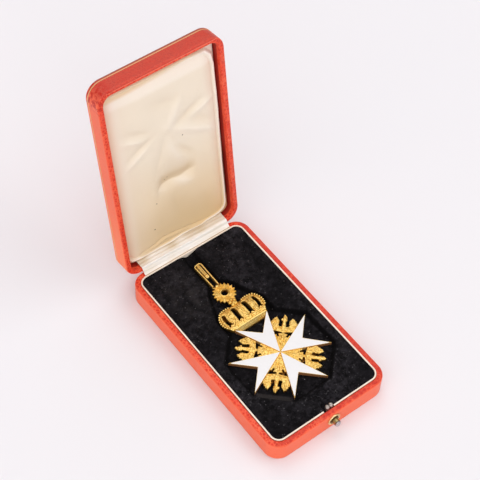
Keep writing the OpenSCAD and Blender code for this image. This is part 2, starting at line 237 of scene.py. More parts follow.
def new_object(name, points, faces, material, sharp_degrees=40, shade=None):
    """A mesh from points in millimetres in the part's frame. The material reads shade, a value per point"""
    mesh = bpy.data.meshes.new(name)
    mesh.from_pydata((np.asarray(points) * MM).tolist(), [], [tuple(int(i) for i in f) for f in faces])
    if shade is not None:
        values = mesh.attributes.new("shade", "FLOAT", "POINT").data
        values.foreach_set("value", np.asarray(shade, np.float32))
    mesh.validate()
    mesh.shade_smooth()
    mesh.set_sharp_from_angle(angle=math.radians(sharp_degrees))
    mesh.materials.append(material)
    made = bpy.data.objects.new(name, mesh)
    bpy.context.scene.collection.objects.link(made)
    return made


def triangle_grid(box, step):
    """Points and triangles of even size over a box x0, y0, x1, y1"""
    x0, y0, x1, y1 = box
    row = step * math.sqrt(3) / 2
    nx, ny = int((x1 - x0) / step) + 3, int((y1 - y0) / row) + 3
    i, j = np.meshgrid(np.arange(nx), np.arange(ny))
    points = np.stack([(x0 + (i - 1 + 0.5 * (j % 2)) * step).ravel(), (y0 + (j - 1) * row).ravel()], 1)
    a, b = np.meshgrid(np.arange(nx - 1), np.arange(ny - 1))
    p00 = (b * nx + a).ravel()
    p10, p01, p11 = p00 + 1, p00 + nx, p00 + nx + 1
    even = ((b % 2) == 0).ravel()
    lower = np.stack([p00, p10, np.where(even, p01, p11)], 1)
    upper = np.stack([np.where(even, p10, p00), p11, p01], 1)
    return points, np.concatenate([lower, upper])


def cut_grid(distance, box, step):
    """Points and triangles of the plane where distance is negative, cut cleanly along its edge"""
    points, triangles = triangle_grid(box, step)
    d = distance(points[:, 0], points[:, 1])
    # A point that all but touches the edge counts as inside, so that no sliver is cut
    d = np.where(np.abs(d) < 0.04 * step, -1e-9, d)
    inside = d < 0
    count = inside[triangles].sum(1)
    kept = [tuple(t) for t in triangles[count == 3]]
    added, cuts = [], {}

    def cut(p, q):
        key = (p, q) if p < q else (q, p)
        if key not in cuts:
            cuts[key] = len(points) + len(added)
            added.append(points[p] + (points[q] - points[p]) * (d[p] / (d[p] - d[q])))
        return cuts[key]

    for t in triangles[(count == 1) | (count == 2)]:
        odd = [k for k in range(3) if (inside[t[k]] == 1) == (inside[t].sum() == 1)][0]
        p, q, r = int(t[odd]), int(t[(odd + 1) % 3]), int(t[(odd + 2) % 3])
        m, n = cut(p, q), cut(p, r)
        kept += [(p, m, n)] if inside[p] else [(m, q, r), (m, r, n)]
    triangles = np.array(kept)
    points = np.concatenate([points, np.array(added).reshape(-1, 2)])
    used, index = np.unique(triangles, return_inverse=True)
    return points[used], index.reshape(-1, 3)


def open_edges(triangles):
    """Edges with a triangle on one side only, in that triangle's direction"""
    edges = np.concatenate([triangles[:, [0, 1]], triangles[:, [1, 2]], triangles[:, [2, 0]]])
    there = set(map(tuple, edges.tolist()))
    return [e for e in map(tuple, edges.tolist()) if (e[1], e[0]) not in there]


def plate(name, distance, box, step, top, base, place, material, shade=None, sharp_degrees=50,
          wall_tone=0.35):
    """A plate cut to a plan, whose upper face is at top(x, y, depth) and whose underside is flat at base"""
    flat, triangles = cut_grid(distance, box, step)
    x, y = flat[:, 0], flat[:, 1]
    depth = np.maximum(-distance(x, y), 0)
    upper = np.stack([x, y, top(x, y, depth)], 1)
    edges = open_edges(triangles)
    rim = sorted({i for e in edges for i in e})
    below = {i: len(upper) + k for k, i in enumerate(rim)}
    lower = upper[rim].copy()
    lower[:, 2] = base
    walls = [(b, a, below[a], below[b]) for a, b in edges]
    tone = np.ones(len(upper)) if shade is None else shade(x, y, depth)
    # The walls' lower points take their top edge's tone times wall_tone: painted shade down the sides
    tone = np.concatenate([tone, tone[rim] * wall_tone])
    points = place(np.concatenate([upper, lower]))
    faces = [*map(tuple, triangles.tolist()), *walls]
    return face_outwards(new_object(name, points, faces, material, sharp_degrees, tone), len(upper))


def face_outwards(obj, underside=None):
    """Turns all faces outwards, after filling a flat underside whose points start at the given number"""
    bm = bmesh.new()
    bm.from_mesh(obj.data)
    if underside is not None:
        bm.verts.ensure_lookup_table()
        lower = set(bm.verts[underside:])
        edges = [e for e in bm.edges if e.is_boundary and e.verts[0] in lower and e.verts[1] in lower]
        bmesh.ops.triangle_fill(bm, use_beauty=True, use_dissolve=False, edges=edges)
    bmesh.ops.recalc_face_normals(bm, faces=bm.faces)
    bm.to_mesh(obj.data)
    bm.free()
    return obj


def join(name, objects):
    """One object from several"""
    for o in bpy.context.selected_objects:
        o.select_set(False)
    for o in objects:
        o.select_set(True)
    bpy.context.view_layer.objects.active = objects[0]
    with bpy.context.temp_override(active_object=objects[0], selected_editable_objects=objects,
                                   selected_objects=objects, object=objects[0]):
        bpy.ops.object.join()
    objects[0].name = objects[0].data.name = name
    return objects[0]


def pearls(name, centres, radii, place, material, shade=1.0):
    """Small balls at centres, in the frame that place carries to the part's"""
    bm = bmesh.new()
    bmesh.ops.create_icosphere(bm, subdivisions=2, radius=1)
    ball = np.array([v.co for v in bm.verts])
    faces = np.array([[v.index for v in f.verts] for f in bm.faces])
    bm.free()
    points, all_faces = [], []
    for k, (centre, r) in enumerate(zip(centres, radii)):
        points.append(ball * r + np.array(centre))
        all_faces.append(faces + k * len(ball))
    points = np.concatenate(points)
    tone = np.full(len(points), shade)
    return new_object(name, place(points), np.concatenate(all_faces), material, 180, tone)


def band_faces(rows, n, steps):
    """Faces between rows of n points each, over the first steps gaps of a row"""
    return [(k * n + i, k * n + (i + 1) % n, (k + 1) * n + (i + 1) % n, (k + 1) * n + i)
            for k in range(rows - 1) for i in range(steps)]


def ring_loops(name, loops, place, material, closed=True, sharp_degrees=35, shade=None):
    """Skins closed loops of equal length one after the other, and closes both ends when closed is set"""
    n, rows = len(loops[0]), len(loops)
    points = np.concatenate([np.asarray(loop, float) for loop in loops])
    faces = band_faces(rows, n, n)
    if closed:
        faces += [tuple(range(n - 1, -1, -1)), tuple(range((rows - 1) * n, rows * n))]
    return new_object(name, place(points), faces, material, sharp_degrees, shade)


# Materials


class Nodes:
    """Short calls for a material's nodes"""

    def __init__(self, name):
        self.material = bpy.data.materials.new(name)
        self.material.use_nodes = True
        self.tree = self.material.node_tree
        self.shader = self.tree.nodes["Principled BSDF"]
        self.coords = self.node("TexCoord", {})["Object"]

    def node(self, kind, inputs, **options):
        """A new node's outputs. Its options are set first, then its inputs get a value or a link each"""
        n = self.tree.nodes.new("ShaderNode" + kind)
        for key, value in options.items():
            setattr(n, key, value)
        for key, value in inputs.items():
            if isinstance(value, bpy.types.NodeSocket):
                self.tree.links.new(value, n.inputs[key])
            elif value is not None:
                n.inputs[key].default_value = value
        return n.outputs

    def noise(self, scale, detail, roughness, vector=None):
        inputs = {"Scale": scale, "Detail": detail, "Roughness": roughness, "Vector": vector or self.coords}
        return self.node("TexNoise", inputs)["Fac"]

    def patches(self, scale, low, high, detail=3, roughness=0.6):
        """0 to 1 in patches, which are larger where low is larger"""
        return self.spread(self.noise(scale, detail, roughness), low, high)

    def voronoi(self, scale, feature="F1", vector=None, output="Distance"):
        inputs = {"Scale": scale, "Vector": vector or self.coords}
        return self.node("TexVoronoi", inputs, feature=feature)[output]

    def warped(self, scale, amount):
        """Object coordinates pushed about by noise"""
        push = self.node("TexNoise", {"Scale": scale, "Vector": self.coords})["Color"]
        half = self.vector_math("SUBTRACT", push, (0.5, 0.5, 0.5))
        return self.vector_math("ADD", self.coords, self.vector_math("SCALE", half, scale_by=amount))

    def vector_math(self, operation, a, b=None, scale_by=None):
        return self.node("VectorMath", {0: a, 1: b, "Scale": scale_by}, operation=operation)["Vector"]

    def axis(self, name):
        return self.node("SeparateXYZ", {0: self.coords})[name]

    def math(self, operation, a, b=None, clamp=False):
        return self.node("Math", {0: a, 1: b}, operation=operation, use_clamp=clamp)[0]

    def times(self, a, *others):
        for b in others:
            a = self.math("MULTIPLY", a, b)
        return a

    def plus(self, a, b, clamp=False):
        return self.math("ADD", a, b, clamp)

    def minus(self, a, b):
        return self.math("SUBTRACT", a, b)

    def length(self, a, b):
        """Distance of the point a, b from zero"""
        return self.math("SQRT", self.plus(self.times(a, a), self.times(b, b)))

    def spread(self, value, low, high, to_low=0.0, to_high=1.0):
        """value from low to high carried to to_low to to_high, and held there beyond"""
        inputs = {"Value": value, "From Min": low, "From Max": high, "To Min": to_low, "To Max": to_high}
        return self.node("MapRange", inputs)["Result"]

    def mix(self, factor, a, b):
        """Colours a to b"""
        a, b = ((*c, 1) if isinstance(c, tuple) else c for c in (a, b))
        return self.node("Mix", {0: factor, 6: a, 7: b}, data_type="RGBA")[2]

    def layers(self, tone, *layers):
        """A colour with others laid over it in turn, each where its factor is 1"""
        for factor, colour in layers:
            tone = self.mix(factor, tone, colour)
        return tone

    def shade(self):
        """The value that new_object keeps for each point"""
        return self.node("Attribute", {}, attribute_name="shade")["Fac"]

    def colour(self, value):
        self.tree.links.new(value, self.shader.inputs["Base Color"])

    def roughness(self, value):
        self.tree.links.new(value, self.shader.inputs["Roughness"])

    def bump(self, height, strength, distance):
        normal = self.node("Bump", {"Height": height, "Strength": strength, "Distance": distance})["Normal"]
        self.tree.links.new(normal, self.shader.inputs["Normal"])

    def put(self, **values):
        for key, value in values.items():
            self.shader.inputs[key.replace("_", " ")].default_value = value


Grain = namedtuple("Grain", "pit net fine cloud")


def leather_grain(m):
    """Morocco grain: pits, the net between them, a fine grain and slow clouds"""
    warped = m.warped(160, 0.0018)
    pit = m.spread(m.voronoi(520, "F1", warped), 0.12, 0.52, 1.0, 0.0)
    net = m.spread(m.voronoi(520, "DISTANCE_TO_EDGE", warped), 0.0, 0.2, 1.0, 0.0)
    return Grain(pit, net, m.noise(2400, 4, 0.6), m.noise(60, 3, 0.6))


def tray_leather():
    """Orange red morocco, painted paler coral on its walls and deeper red at the closing rim for how light
    falls on them
    """
    m = Nodes("tray_leather")
    grain = leather_grain(m)
    at_rim = m.spread(m.minus(TRAY_H * MM, m.axis("Z")), 0.0001, 0.0007, 1.0, 0.0)
    whole = m.mix(at_rim, wall_colour(m, grain), rim_colour(m, grain))
    return finish_leather(m, grain, whole, at_rim)


def lid_leather():
    """The same leather and painted light. The lid's end wall is painted deeper red still for how light falls
    on it, and painted shade darkens its inner walls behind the rim
    """
    m = Nodes("lid_leather")
    grain = leather_grain(m)
    depth, run = lid_rim_depth(m), lid_run(m)
    # All but the outside of the lid's back
    front = m.spread(depth, 0.0119, 0.0124, 1.0, 0.0)
    within = m.times(lid_inside(m, run), front)
    deep_in = m.spread(depth, 0.0024, 0.0034)
    # The rim, up to the outer half of its end, and the first 3 mm of the inner walls
    at_rim = m.times(m.spread(depth, 0.0001, 0.0007, 1.0, 0.0), m.spread(run, 0.1409, 0.1413, 1.0, 0.0))
    at_rim = m.math("MAXIMUM", at_rim, m.times(within, m.minus(1.0, deep_in)))
    whole = m.layers(
        wall_colour(m, grain),
        (m.spread(m.axis("Z"), 0.030, 0.080, 1.0, 0.0), (1.0, 0.205, 0.075)),
        (m.times(m.spread(m.axis("Z"), 0.1490, 0.1540), front), end_colour(m, grain, depth, run)),
        # Painted shade darkens the inner walls deeper behind the rim
        (m.times(within, deep_in), (0.36, 0.018, 0.010)),
        (at_rim, rim_colour(m, grain)),
        (m.times(corner_flecks(m, run), front), (0.55, 0.020, 0.008)))
    return finish_leather(m, grain, whole, at_rim)


def finish_leather(m, grain, colour, at_rim):
    """Colour, gloss and a bump that is deepest at the rim"""
    m.colour(colour)
    m.roughness(m.spread(grain.fine, 0.3, 0.7, 0.38, 0.54))
    m.put(Specular_IOR_Level=0.3, Coat_Weight=0.08, Coat_Roughness=0.3)
    deep = m.plus(m.times(at_rim, 0.75), 0.25)
    m.bump(m.plus(m.times(grain.pit, deep, -1.0), m.times(grain.fine, 0.3)), 0.8, 0.0003)
    return m.material


def rim_colour(m, grain):
    """Deep red with painted shade in the pits and painted highlights on the net between them, ruddier at the
    tray's front and right
    """
    # Painted highlights: glints on the raised net between the pits
    highlight = m.times(grain.net, m.spread(grain.cloud, 0.35, 0.65, 0.3, 0.85))
    # Painted shade in the pits
    sunk = m.times(grain.pit, m.spread(grain.cloud, 0.3, 0.6, 0.6, 0.25))
    streak = m.times(m.spread(m.noise(330, 4, 0.7), 0.47, 0.62, 0.0, 0.75),
                     m.spread(m.axis("Y"), -0.066, -0.062, 1.0, 0.35))
    right = m.spread(m.axis("X"), 0.0372, 0.0385)
    front = m.spread(m.axis("Y"), -0.0685, -0.0670, 0.7, 0.0)
    ruddy = m.times(m.math("MAXIMUM", right, front),
                    m.spread(m.axis("Z"), 0.0143, 0.0150, 0.85, 0.0),
                    m.spread(m.noise(170, 3, 0.6), 0.38, 0.56, 0.4, 1.0),
                    m.spread(m.axis("Y"), -0.0706, -0.0700))
    return m.layers(
        (0.80, 0.044, 0.016),
        (highlight, (0.98, 0.20, 0.085)),
        (ruddy, (0.60, 0.030, 0.012)),
        (sunk, (0.46, 0.014, 0.006)),
        (streak, (0.56, 0.022, 0.010)))


def corner_flecks(m, run):
    """1 on the dark flecks at the lid's upper left corner"""
    far = m.length(m.minus(m.axis("X"), -0.0385), m.minus(run, 0.1385))
    return m.times(m.spread(far, 0.0055, 0.0100, 0.95, 0.0), m.patches(520, 0.46, 0.58, 3, 0.7))


def wall_colour(m, grain):
    """Coral leather, painted paler for how light falls on the walls, with faint painted shade in its pits"""
    return m.layers(
        (0.93, 0.150, 0.060),
        # Faint painted shade in the pits
        (m.times(grain.pit, 0.10), (0.70, 0.055, 0.028)),
        (m.spread(grain.fine, 0.5, 0.8, 0.0, 0.25), (0.94, 0.21, 0.11)),
        (m.spread(grain.cloud, 0.35, 0.65, 0.0, 0.2), (0.86, 0.105, 0.045)))


def end_colour(m, grain, depth, run):
    """The end wall and the outer half of its rim, painted deeper red for how light falls on them, with
    painted highlights on the grain's net, a painted highlight line along them and painted shade along the
    back edge
    """
    # line is a painted highlight along the rim's rounded outer edge
    line = m.times(m.spread(run, 0.1414, 0.1417, 0.85, 0.0), m.spread(depth, 0.0003, 0.0008, 1.0, 0.0))
    return m.layers(
        (0.50, 0.040, 0.026),
        (m.spread(grain.fine, 0.42, 0.62), (0.70, 0.076, 0.040)),
        (m.times(m.patches(260, 0.42, 0.62), 0.5), (0.66, 0.045, 0.022)),
        # Painted highlights on the grain's net
        (m.times(grain.net, 0.2), (0.74, 0.13, 0.07)),
        (line, (0.95, 0.19, 0.11)),
        # Painted shade along the back edge
        (m.spread(depth, 0.0107, 0.0115, 0.0, 0.9), (0.27, 0.13, 0.085)))


def in_lid(m, y_share, z_share):
    """Place in the open lid along a direction in the y and z plane, in metres from the hinge's axis"""
    along_y = m.times(m.minus(m.axis("Y"), AXIS_Y * MM), y_share)
    return m.plus(along_y, m.times(m.minus(m.axis("Z"), AXIS_Z * MM), z_share))


def lid_run(m):
    """Distance from the hinge along the open lid, in metres"""
    return in_lid(m, -math.cos(math.radians(OPEN_ANGLE)), math.sin(math.radians(OPEN_ANGLE)))


def lid_rim_depth(m):
    """Distance behind the open lid's rim, in metres"""
    depth = in_lid(m, math.sin(math.radians(OPEN_ANGLE)), math.cos(math.radians(OPEN_ANGLE)))
    return m.minus(depth, CLOSE_GAP / 2 * MM)


def lid_inside(m, run):
    """1 within the lid's walls"""
    across = m.spread(m.math("ABSOLUTE", m.axis("X")), 0.0385, 0.0390, 1.0, 0.0)
    return m.times(across, m.spread(run, 0.0028, 0.0033), m.spread(run, 0.1397, 0.1402, 1.0, 0.0))


def gilt_material(name, bright, dark, low_roughness, high_roughness, metallic):
    """Gilt metal, redder and paler in patches, with painted brown shade in its hollows and a painted
    highlight on its high points
    """
    m = Nodes(name)
    red, green, blue = bright
    grain = m.noise(1400, 3, 0.6)
    redder = (red, green * 0.88, blue * 0.6)
    paler = (red * 0.96, green * 1.07, blue * 1.3)
    darker = (red * 0.74, green * 0.72, blue * 0.7)
    # height is the point's shade value with grain: low where shade is painted, high where a highlight is
    # painted
    height = m.plus(m.shade(), m.times(m.minus(grain, 0.5), 0.5), clamp=True)
    tone = m.layers(
        redder,
        (m.patches(330, 0.36, 0.62, 3, 0.65), paler),
        (m.spread(m.noise(900, 3, 0.6), 0.5, 0.8, 0.0, 0.45), darker),
        # Painted highlight
        (m.spread(height, 0.78, 1.0, 0.0, 0.6), (1.0, 0.74, 0.27)))
    # Painted brown shade where height is low
    m.colour(m.mix(height, dark, tone))
    m.roughness(m.spread(grain, 0.3, 0.7, low_roughness, high_roughness))
    m.put(Metallic=metallic)
    m.bump(grain, 0.25, 0.00008)
    return m.material


def side_material():
    """Unpolished sides of the arms, brown towards the points and golden near the centre"""
    m = Nodes("side_gold")
    out = m.length(m.minus(m.axis("X"), BADGE_AT[0] * MM), m.minus(m.axis("Y"), BADGE_AT[1] * MM))
    brown = m.mix(m.patches(300, 0.3, 0.7), (0.30, 0.125, 0.045), (0.46, 0.20, 0.075))
    m.colour(m.mix(m.spread(out, 0.0130, 0.0165), (0.90, 0.58, 0.19), brown))
    m.put(Metallic=0.4, Roughness=0.45)
    m.bump(m.noise(1800, 3, 0.6), 0.2, 0.00006)
    return m.material


def enamel_material():
    """Opaque white enamel, a little uneven in tone and surface"""
    m = Nodes("white_enamel")
    m.colour(m.mix(m.patches(60, 0.3, 0.7, 2, 0.5), (0.747, 0.735, 0.738), (0.771, 0.758, 0.761)))
    m.put(Roughness=0.16, IOR=1.55, Coat_Weight=0.6, Coat_Roughness=0.04)
    m.bump(m.noise(90, 2, 0.5), 0.15, 0.0003)
    return m.material


# Fine hairs on the velvet: noise scale, offset, how plain they are off and on the patches, colour
HAIRS = [(230, 3.0, 0.25, 0.7, (0.085, 0.080, 0.085)), (420, 5.0, 0.15, 0.6, (0.070, 0.066, 0.070))]
# Lint: cell scale, speck size, share of the cells that stay clean, colour
LINT = [(520, 0.09, 0.78, (0.10, 0.095, 0.10)), (210, 0.03, 0.86, (0.33, 0.32, 0.33))]


def velvet_material():
    """Deep black pile with paler brushed patches, and lint"""
    m = Nodes("black_velvet")
    patch = m.patches(48, 0.42, 0.64, 3, 0.65)
    blotch = m.patches(260, 0.40, 0.64, 4, 0.75)
    pile = m.noise(2600, 2, 0.7)
    brushed = m.times(m.plus(m.times(patch, 0.7), 0.3), blotch)
    # shade is under 1 where the pile is brushed paler and where a highlight is painted on it, and over 1
    # where shade is painted on it
    shade = m.shade()
    m.colour(m.layers(
        (0.0024, 0.0020, 0.0026),
        (brushed, (0.029, 0.026, 0.031)),
        *((m.times(hairs(m, scale, seed), m.spread(patch, 0.0, 1.0, low, high)), colour)
          for scale, seed, low, high, colour in HAIRS),
        (m.spread(pile, 0.45, 0.8, 0.0, 0.4), (0.020, 0.018, 0.020)),
        (m.minus(1.0, shade), (0.052, 0.045, 0.044)),
        (m.spread(shade, 1.0, 2.0), (0.0015, 0.0012, 0.0015)),
        *((lint(m, scale, size, rarity), colour) for scale, size, rarity, colour in LINT)))
    m.put(Roughness=1.0, Specular_IOR_Level=0.1)
    m.bump(m.plus(pile, m.times(blotch, 0.8)), 0.7, 0.0005)
    return m.material


def hairs(m, scale, seed):
    """Fine curved lines, broken into short pieces"""
    shifted = m.vector_math("ADD", m.coords, (seed, seed * 0.7, 0.0))
    line = m.math("ABSOLUTE", m.minus(m.noise(scale, 2, 0.5, shifted), 0.5))
    pieces = m.noise(scale * 1.7, 1, 0.5, m.vector_math("ADD", shifted, (1.0, 2.0, 0.0)))
    return m.times(m.spread(line, 0.004, 0.016, 1.0, 0.0), m.spread(pieces, 0.54, 0.60))


def lint(m, scale, size, rarity):
    """Scattered specks: 1 on a speck and 0 off it"""
    near = m.voronoi(scale, "F1")
    chance = m.math("FRACT", m.times(m.voronoi(scale, "F1", output="Color"), 7.3))
    return m.times(m.spread(near, size, size * 2, 1.0, 0.0), m.spread(chance, rarity, rarity + 0.02))


# Small stains of the lining: place across it, distance from its foot, radius
SATIN_SPECKS = [
    (9.6, 80.8, 0.4), (-13.4, 40.0, 0.35), (-16.6, 19.6, 0.45), (-5.0, 52.8, 0.3), (-3.2, 54.0, 0.3),
]


def speck(m, x, v, r):
    """1 on a small round stain of the open lid's lining"""
    at = opened(np.array([[x, LINING_L / 2 - v, LINING_SINK - 1.5]]))[0] * MM
    far = m.length(m.minus(m.axis("X"), float(at[0])), m.minus(m.axis("Z"), float(at[2])))
    return m.spread(far, r * MM * 0.6, r * MM * 1.3, 1.0, 0.0)


def satin_colour(m):
    """Cream, darker tan towards the hinge and the right, partly a stain and partly painted shade, with
    painted red light reflected from the leather along the left and upper edges and painted shade under the
    upper rim
    """
    low = m.spread(m.axis("Z"), 0.018, 0.095, 1.0, 0.0)
    side = m.spread(m.axis("X"), -0.036, -0.012, 0.45, 1.0)
    # Partly a stain, partly painted shade, towards the hinge and the right
    tan_stain_and_shade = m.times(low, side, m.spread(m.noise(14, 3, 0.55), 0.3, 0.7, 0.6, 1.0))
    # left paints red light reflected from the leather along the left edge
    left = m.spread(m.axis("X"), -0.0370, -0.0275, 0.8, 0.0)
    # height places painted shade and reflected red light just under the upper rim
    height = m.minus(m.axis("Z"), m.times(m.axis("X"), 0.06))
    # shade is 0.8 on the plain satin, higher where a highlight is painted on creases and lower where shade
    # is painted in folds
    shade = m.shade()
    return m.layers(
        (0.88, 0.77, 0.62),
        (tan_stain_and_shade, (0.775, 0.53, 0.245)),
        (m.spread(m.noise(70, 3, 0.6), 0.62, 0.85, 0.0, 0.25), (0.70, 0.53, 0.34)),
        (m.spread(shade, 0.8, 1.0), (0.99, 0.91, 0.81)),
        (m.spread(shade, 0.3, 0.8, 1.0, 0.0), (0.62, 0.43, 0.22)),
        (m.times(left, left), (0.80, 0.44, 0.24)),
        (m.spread(height, 0.1442, 0.1462, 0.0, 0.75), (0.80, 0.57, 0.32)),
        (m.spread(shade, 0.0, 0.3, 1.0, 0.0), (0.17, 0.14, 0.07)),
        *((speck(m, x, v, r), (0.13, 0.08, 0.05)) for x, v, r in SATIN_SPECKS))


def satin_material():
    """Satin with a fine weave"""
    m = Nodes("cream_satin")
    m.colour(satin_colour(m))
    weave = m.node("TexWave", {"Scale": 900, "Distortion": 1.5, "Vector": m.coords})["Fac"]
    m.put(Roughness=0.42, Specular_IOR_Level=0.45, Sheen_Weight=0.2, Sheen_Roughness=0.4)
    m.bump(weave, 0.12, 0.00006)
    return m.material


def strip_material():
    """Whiter satin, with painted tan shade where it goes in under the lining and dark painted shade at its
    first edge
    """
    m = Nodes("strip_satin")
    shade = m.shade()
    m.colour(m.layers(
        (0.98, 0.95, 0.91),
        (m.patches(60, 0.35, 0.7), (0.93, 0.86, 0.77)),
        (m.spread(shade, 0.3, 1.0, 1.0, 0.0), (0.60, 0.44, 0.22)),
        (m.spread(shade, 0.0, 0.3, 1.0, 0.0), (0.10, 0.06, 0.03))))
    m.put(Roughness=0.36, Specular_IOR_Level=0.5, Sheen_Weight=0.2, Sheen_Roughness=0.4)
    m.bump(m.noise(900, 3, 0.6), 0.1, 0.00006)
    return m.material


def card_material():
    """Cream paper over card: pale inside and on its edge, brown on its outer side"""
    m = Nodes("cream_card")
    normal = m.node("SeparateXYZ", {0: m.node("TexCoord", {})["Normal"]})
    outwards = m.plus(m.times(normal["X"], m.axis("X")), m.times(normal["Y"], m.axis("Y")))
    inwards = m.spread(outwards, -0.01, -0.005, 1.0, 0.0)
    pale = m.math("MAXIMUM", m.spread(normal["Z"], 0.35, 0.75), inwards)
    edge = m.mix(m.patches(150, 0.35, 0.7, 4), (0.95, 0.84, 0.72), (0.86, 0.72, 0.57))
    m.colour(m.mix(pale, (0.42, 0.18, 0.09), edge))
    m.put(Roughness=0.7)
    m.bump(m.noise(1500, 3, 0.6), 0.3, 0.0001)
    return m.material


def worn_metal(name, scale, colour, metallic, roughness):
    """Metal with soft patches of wear. colour(m, patch) gives its colour"""
    m = Nodes(name)
    cloud = m.noise(scale, 4, 0.6)
    m.colour(colour(m, m.spread(cloud, 0.35, 0.7)))
    m.roughness(m.spread(cloud, 0.3, 0.7, *roughness))
    m.put(Metallic=metallic)
    m.bump(m.noise(2500, 3, 0.6), 0.2, 0.00006)
    return m.material


def steel_colour(m, patch):
    return m.mix(patch, (0.52, 0.47, 0.43), (0.27, 0.225, 0.20))


def button_colour(m, patch):
    """Brass stem with a dark ring before its steel end"""
    stem = m.mix(patch, (0.46, 0.36, 0.15), (0.26, 0.19, 0.07))
    steel = m.mix(patch, (0.58, 0.53, 0.55), (0.30, 0.25, 0.26))
    ring = m.mix(m.spread(m.axis("Y"), -0.0750, -0.0747), (0.10, 0.07, 0.05), stem)
    return m.mix(m.spread(m.axis("Y"), -0.0754, -0.0752), steel, ring)


def flange_colour(m, patch):
    """Brass, polished on its bead and dark inside it"""
    out = m.length(m.minus(m.axis("X"), LATCH_X * MM), m.minus(m.axis("Z"), BUTTON_Z * MM))
    bead = m.mix(patch, (1.0, 0.80, 0.43), (0.66, 0.47, 0.19))
    return m.mix(m.spread(out, 0.0029, 0.0032), (0.13, 0.075, 0.02), bead)


def tooled_material():
    """Worn gilding with the leather showing through"""
    m = Nodes("tooled_gold")
    wear_and_light = m.noise(900, 4, 0.7)
    m.colour(m.mix(m.spread(wear_and_light, 0.56, 0.7), (0.76, 0.47, 0.22), (0.62, 0.15, 0.07)))
    m.put(Roughness=0.4, Metallic=0.35)
    m.bump(wear_and_light, 0.3, 0.0001)
    return m.material


TRAY_LEATHER = tray_leather()
LID_LEATHER = lid_leather()
CAST_GOLD = gilt_material("cast_gold", (0.98, 0.585, 0.125), (0.09, 0.033, 0.005), 0.24, 0.4, 0.92)
BRIGHT_GOLD = gilt_material("bright_gold", (1.0, 0.65, 0.18), (0.14, 0.055, 0.010), 0.16, 0.3, 0.8)
SIDE_GOLD = side_material()
TOOLED_GOLD = tooled_material()
ENAMEL = enamel_material()
VELVET = velvet_material()
SATIN = satin_material()
STRIP_SATIN = strip_material()
CARD = card_material()
STEEL = worn_metal("steel", 500, steel_colour, 0.9, (0.22, 0.45))
BRASS = worn_metal("aged_brass", 420, flange_colour, 0.85, (0.2, 0.4))
BUTTON = worn_metal("push_button", 500, button_colour, 0.75, (0.2, 0.4))


# The cross


def face_height(x, y):
    """The shallow cone that the enamelled face follows"""
    return POINT_H + CENTRE_RISE * (1 - np.hypot(x, y) / POINT_R)


def arm_corners(inset):
    """Corners of an arm that points along +Y, with its edges drawn in by inset"""
    long_slope = math.atan2(ARM_HALF, ARM_REACH)
    notch_slope = math.atan2(ARM_HALF, ARM_REACH - NOTCH_REACH)
    foot = inset / math.sin(long_slope)
    notch = NOTCH_REACH - inset / math.sin(notch_slope)
    tip_y = (notch * math.tan(notch_slope) - foot * math.tan(long_slope)) / (
        math.tan(notch_slope) - math.tan(long_slope))
    tip_x = (tip_y - foot) * math.tan(long_slope)
    return [(0, foot), (tip_x, tip_y), (0, notch), (-tip_x, tip_y)]


def arm_loop(inset, drop, base=None, per_side=10):
    """Points round an arm at drop below the face, or at the height base"""
    corners = np.array(arm_corners(inset))
    share = np.arange(per_side)[:, None] / per_side
    flat = np.concatenate([a + (b - a) * share for a, b in zip(corners, np.roll(corners, -1, 0))])
    z = face_height(flat[:, 0], flat[:, 1]) - drop if base is None else np.full(len(flat), base)
    return np.column_stack([flat, z])


# The polished border round an arm's enamel: inset, drop below the face and tone, from its outer edge inwards
ARM_BORDER = [
    (0.0, 0.12, 0.7), (0.03, 0.03, 1.0), (0.07, 0.0, 1.0), (0.12, 0.0, 1.0), (0.15, 0.05, 1.0),
    (0.16, 0.45, 0.8),
]


def gold_arms():
    """Gold trays of the four arms, with a hair-thin polished border round the enamel"""
    made = []
    for turn in (0, 90, 180, 270):
        loops = [arm_loop(0.0, 0, base=0.0)] + [arm_loop(inset, drop) for inset, drop, _ in ARM_BORDER]
        count = len(loops[0])
        tone = np.repeat([0.1] + [tone for _, _, tone in ARM_BORDER], count)
        arm = ring_loops("arm", loops, lambda p, a=turn: in_pocket(turned(p, a)), BRIGHT_GOLD,
                         sharp_degrees=60, shade=tone)
        arm.data.materials.append(SIDE_GOLD)
        for face in arm.data.polygons[:count]:
            face.material_index = 1
        made.append(arm)
    return join("gold_arms", made)


def enamel_arm(name, turn):
    """Fired enamel that swells a little between its borders"""
    corners = arm_corners(0.11)

    def outline(x, y):
        return polygon_distance(x, y, corners)

    def top(x, y, depth):
        swell = 0.07 * (1 - np.exp(-depth / 0.5)) - 0.05
        return face_height(x, y) + swell + 0.012 * wave_noise(x, y, 2.5, 5 + turn)

    return plate(name, outline, (-13, 0, 13, 29), 0.55, top, 1.2,
                 lambda p: in_pocket(turned(p, turn)), ENAMEL, sharp_degrees=60)


# Outlines of one eagle, along +X from the cross's centre
EAGLE_HALF = [
    (18.3, 2.2), (19.2, 2.9), (21.2, 3.0), (22.4, 3.0), (23.9, 4.0), (25.2, 4.8), (24.1, 5.3),
    (24.4, 6.0), (23.1, 6.2), (23.2, 6.9), (21.7, 7.1), (21.6, 7.8), (19.6, 8.1),
]
EAGLE_HEAD = [
    (17.9, -1.3), (20.5, -1.1), (22.0, -0.9), (22.8, -1.5), (24.4, -1.5), (25.7, -1.1), (26.8, -0.1),
    (26.1, 0.6), (25.0, 0.8), (24.3, 1.0), (23.4, 2.1), (22.8, 1.9), (22.5, 1.0), (21.0, 0.9), (17.9, 1.3),
]
EAGLE_BODY = [(0, 0)] + [(x, -y) for x, y in EAGLE_HALF[::-1]] + EAGLE_HALF
TAIL_GAP = [(13.4, 0.9), (14.2, 0.9), (14.55, 2.6), (15.0, 6.0), (13.1, 6.0), (13.2, 3.0)]
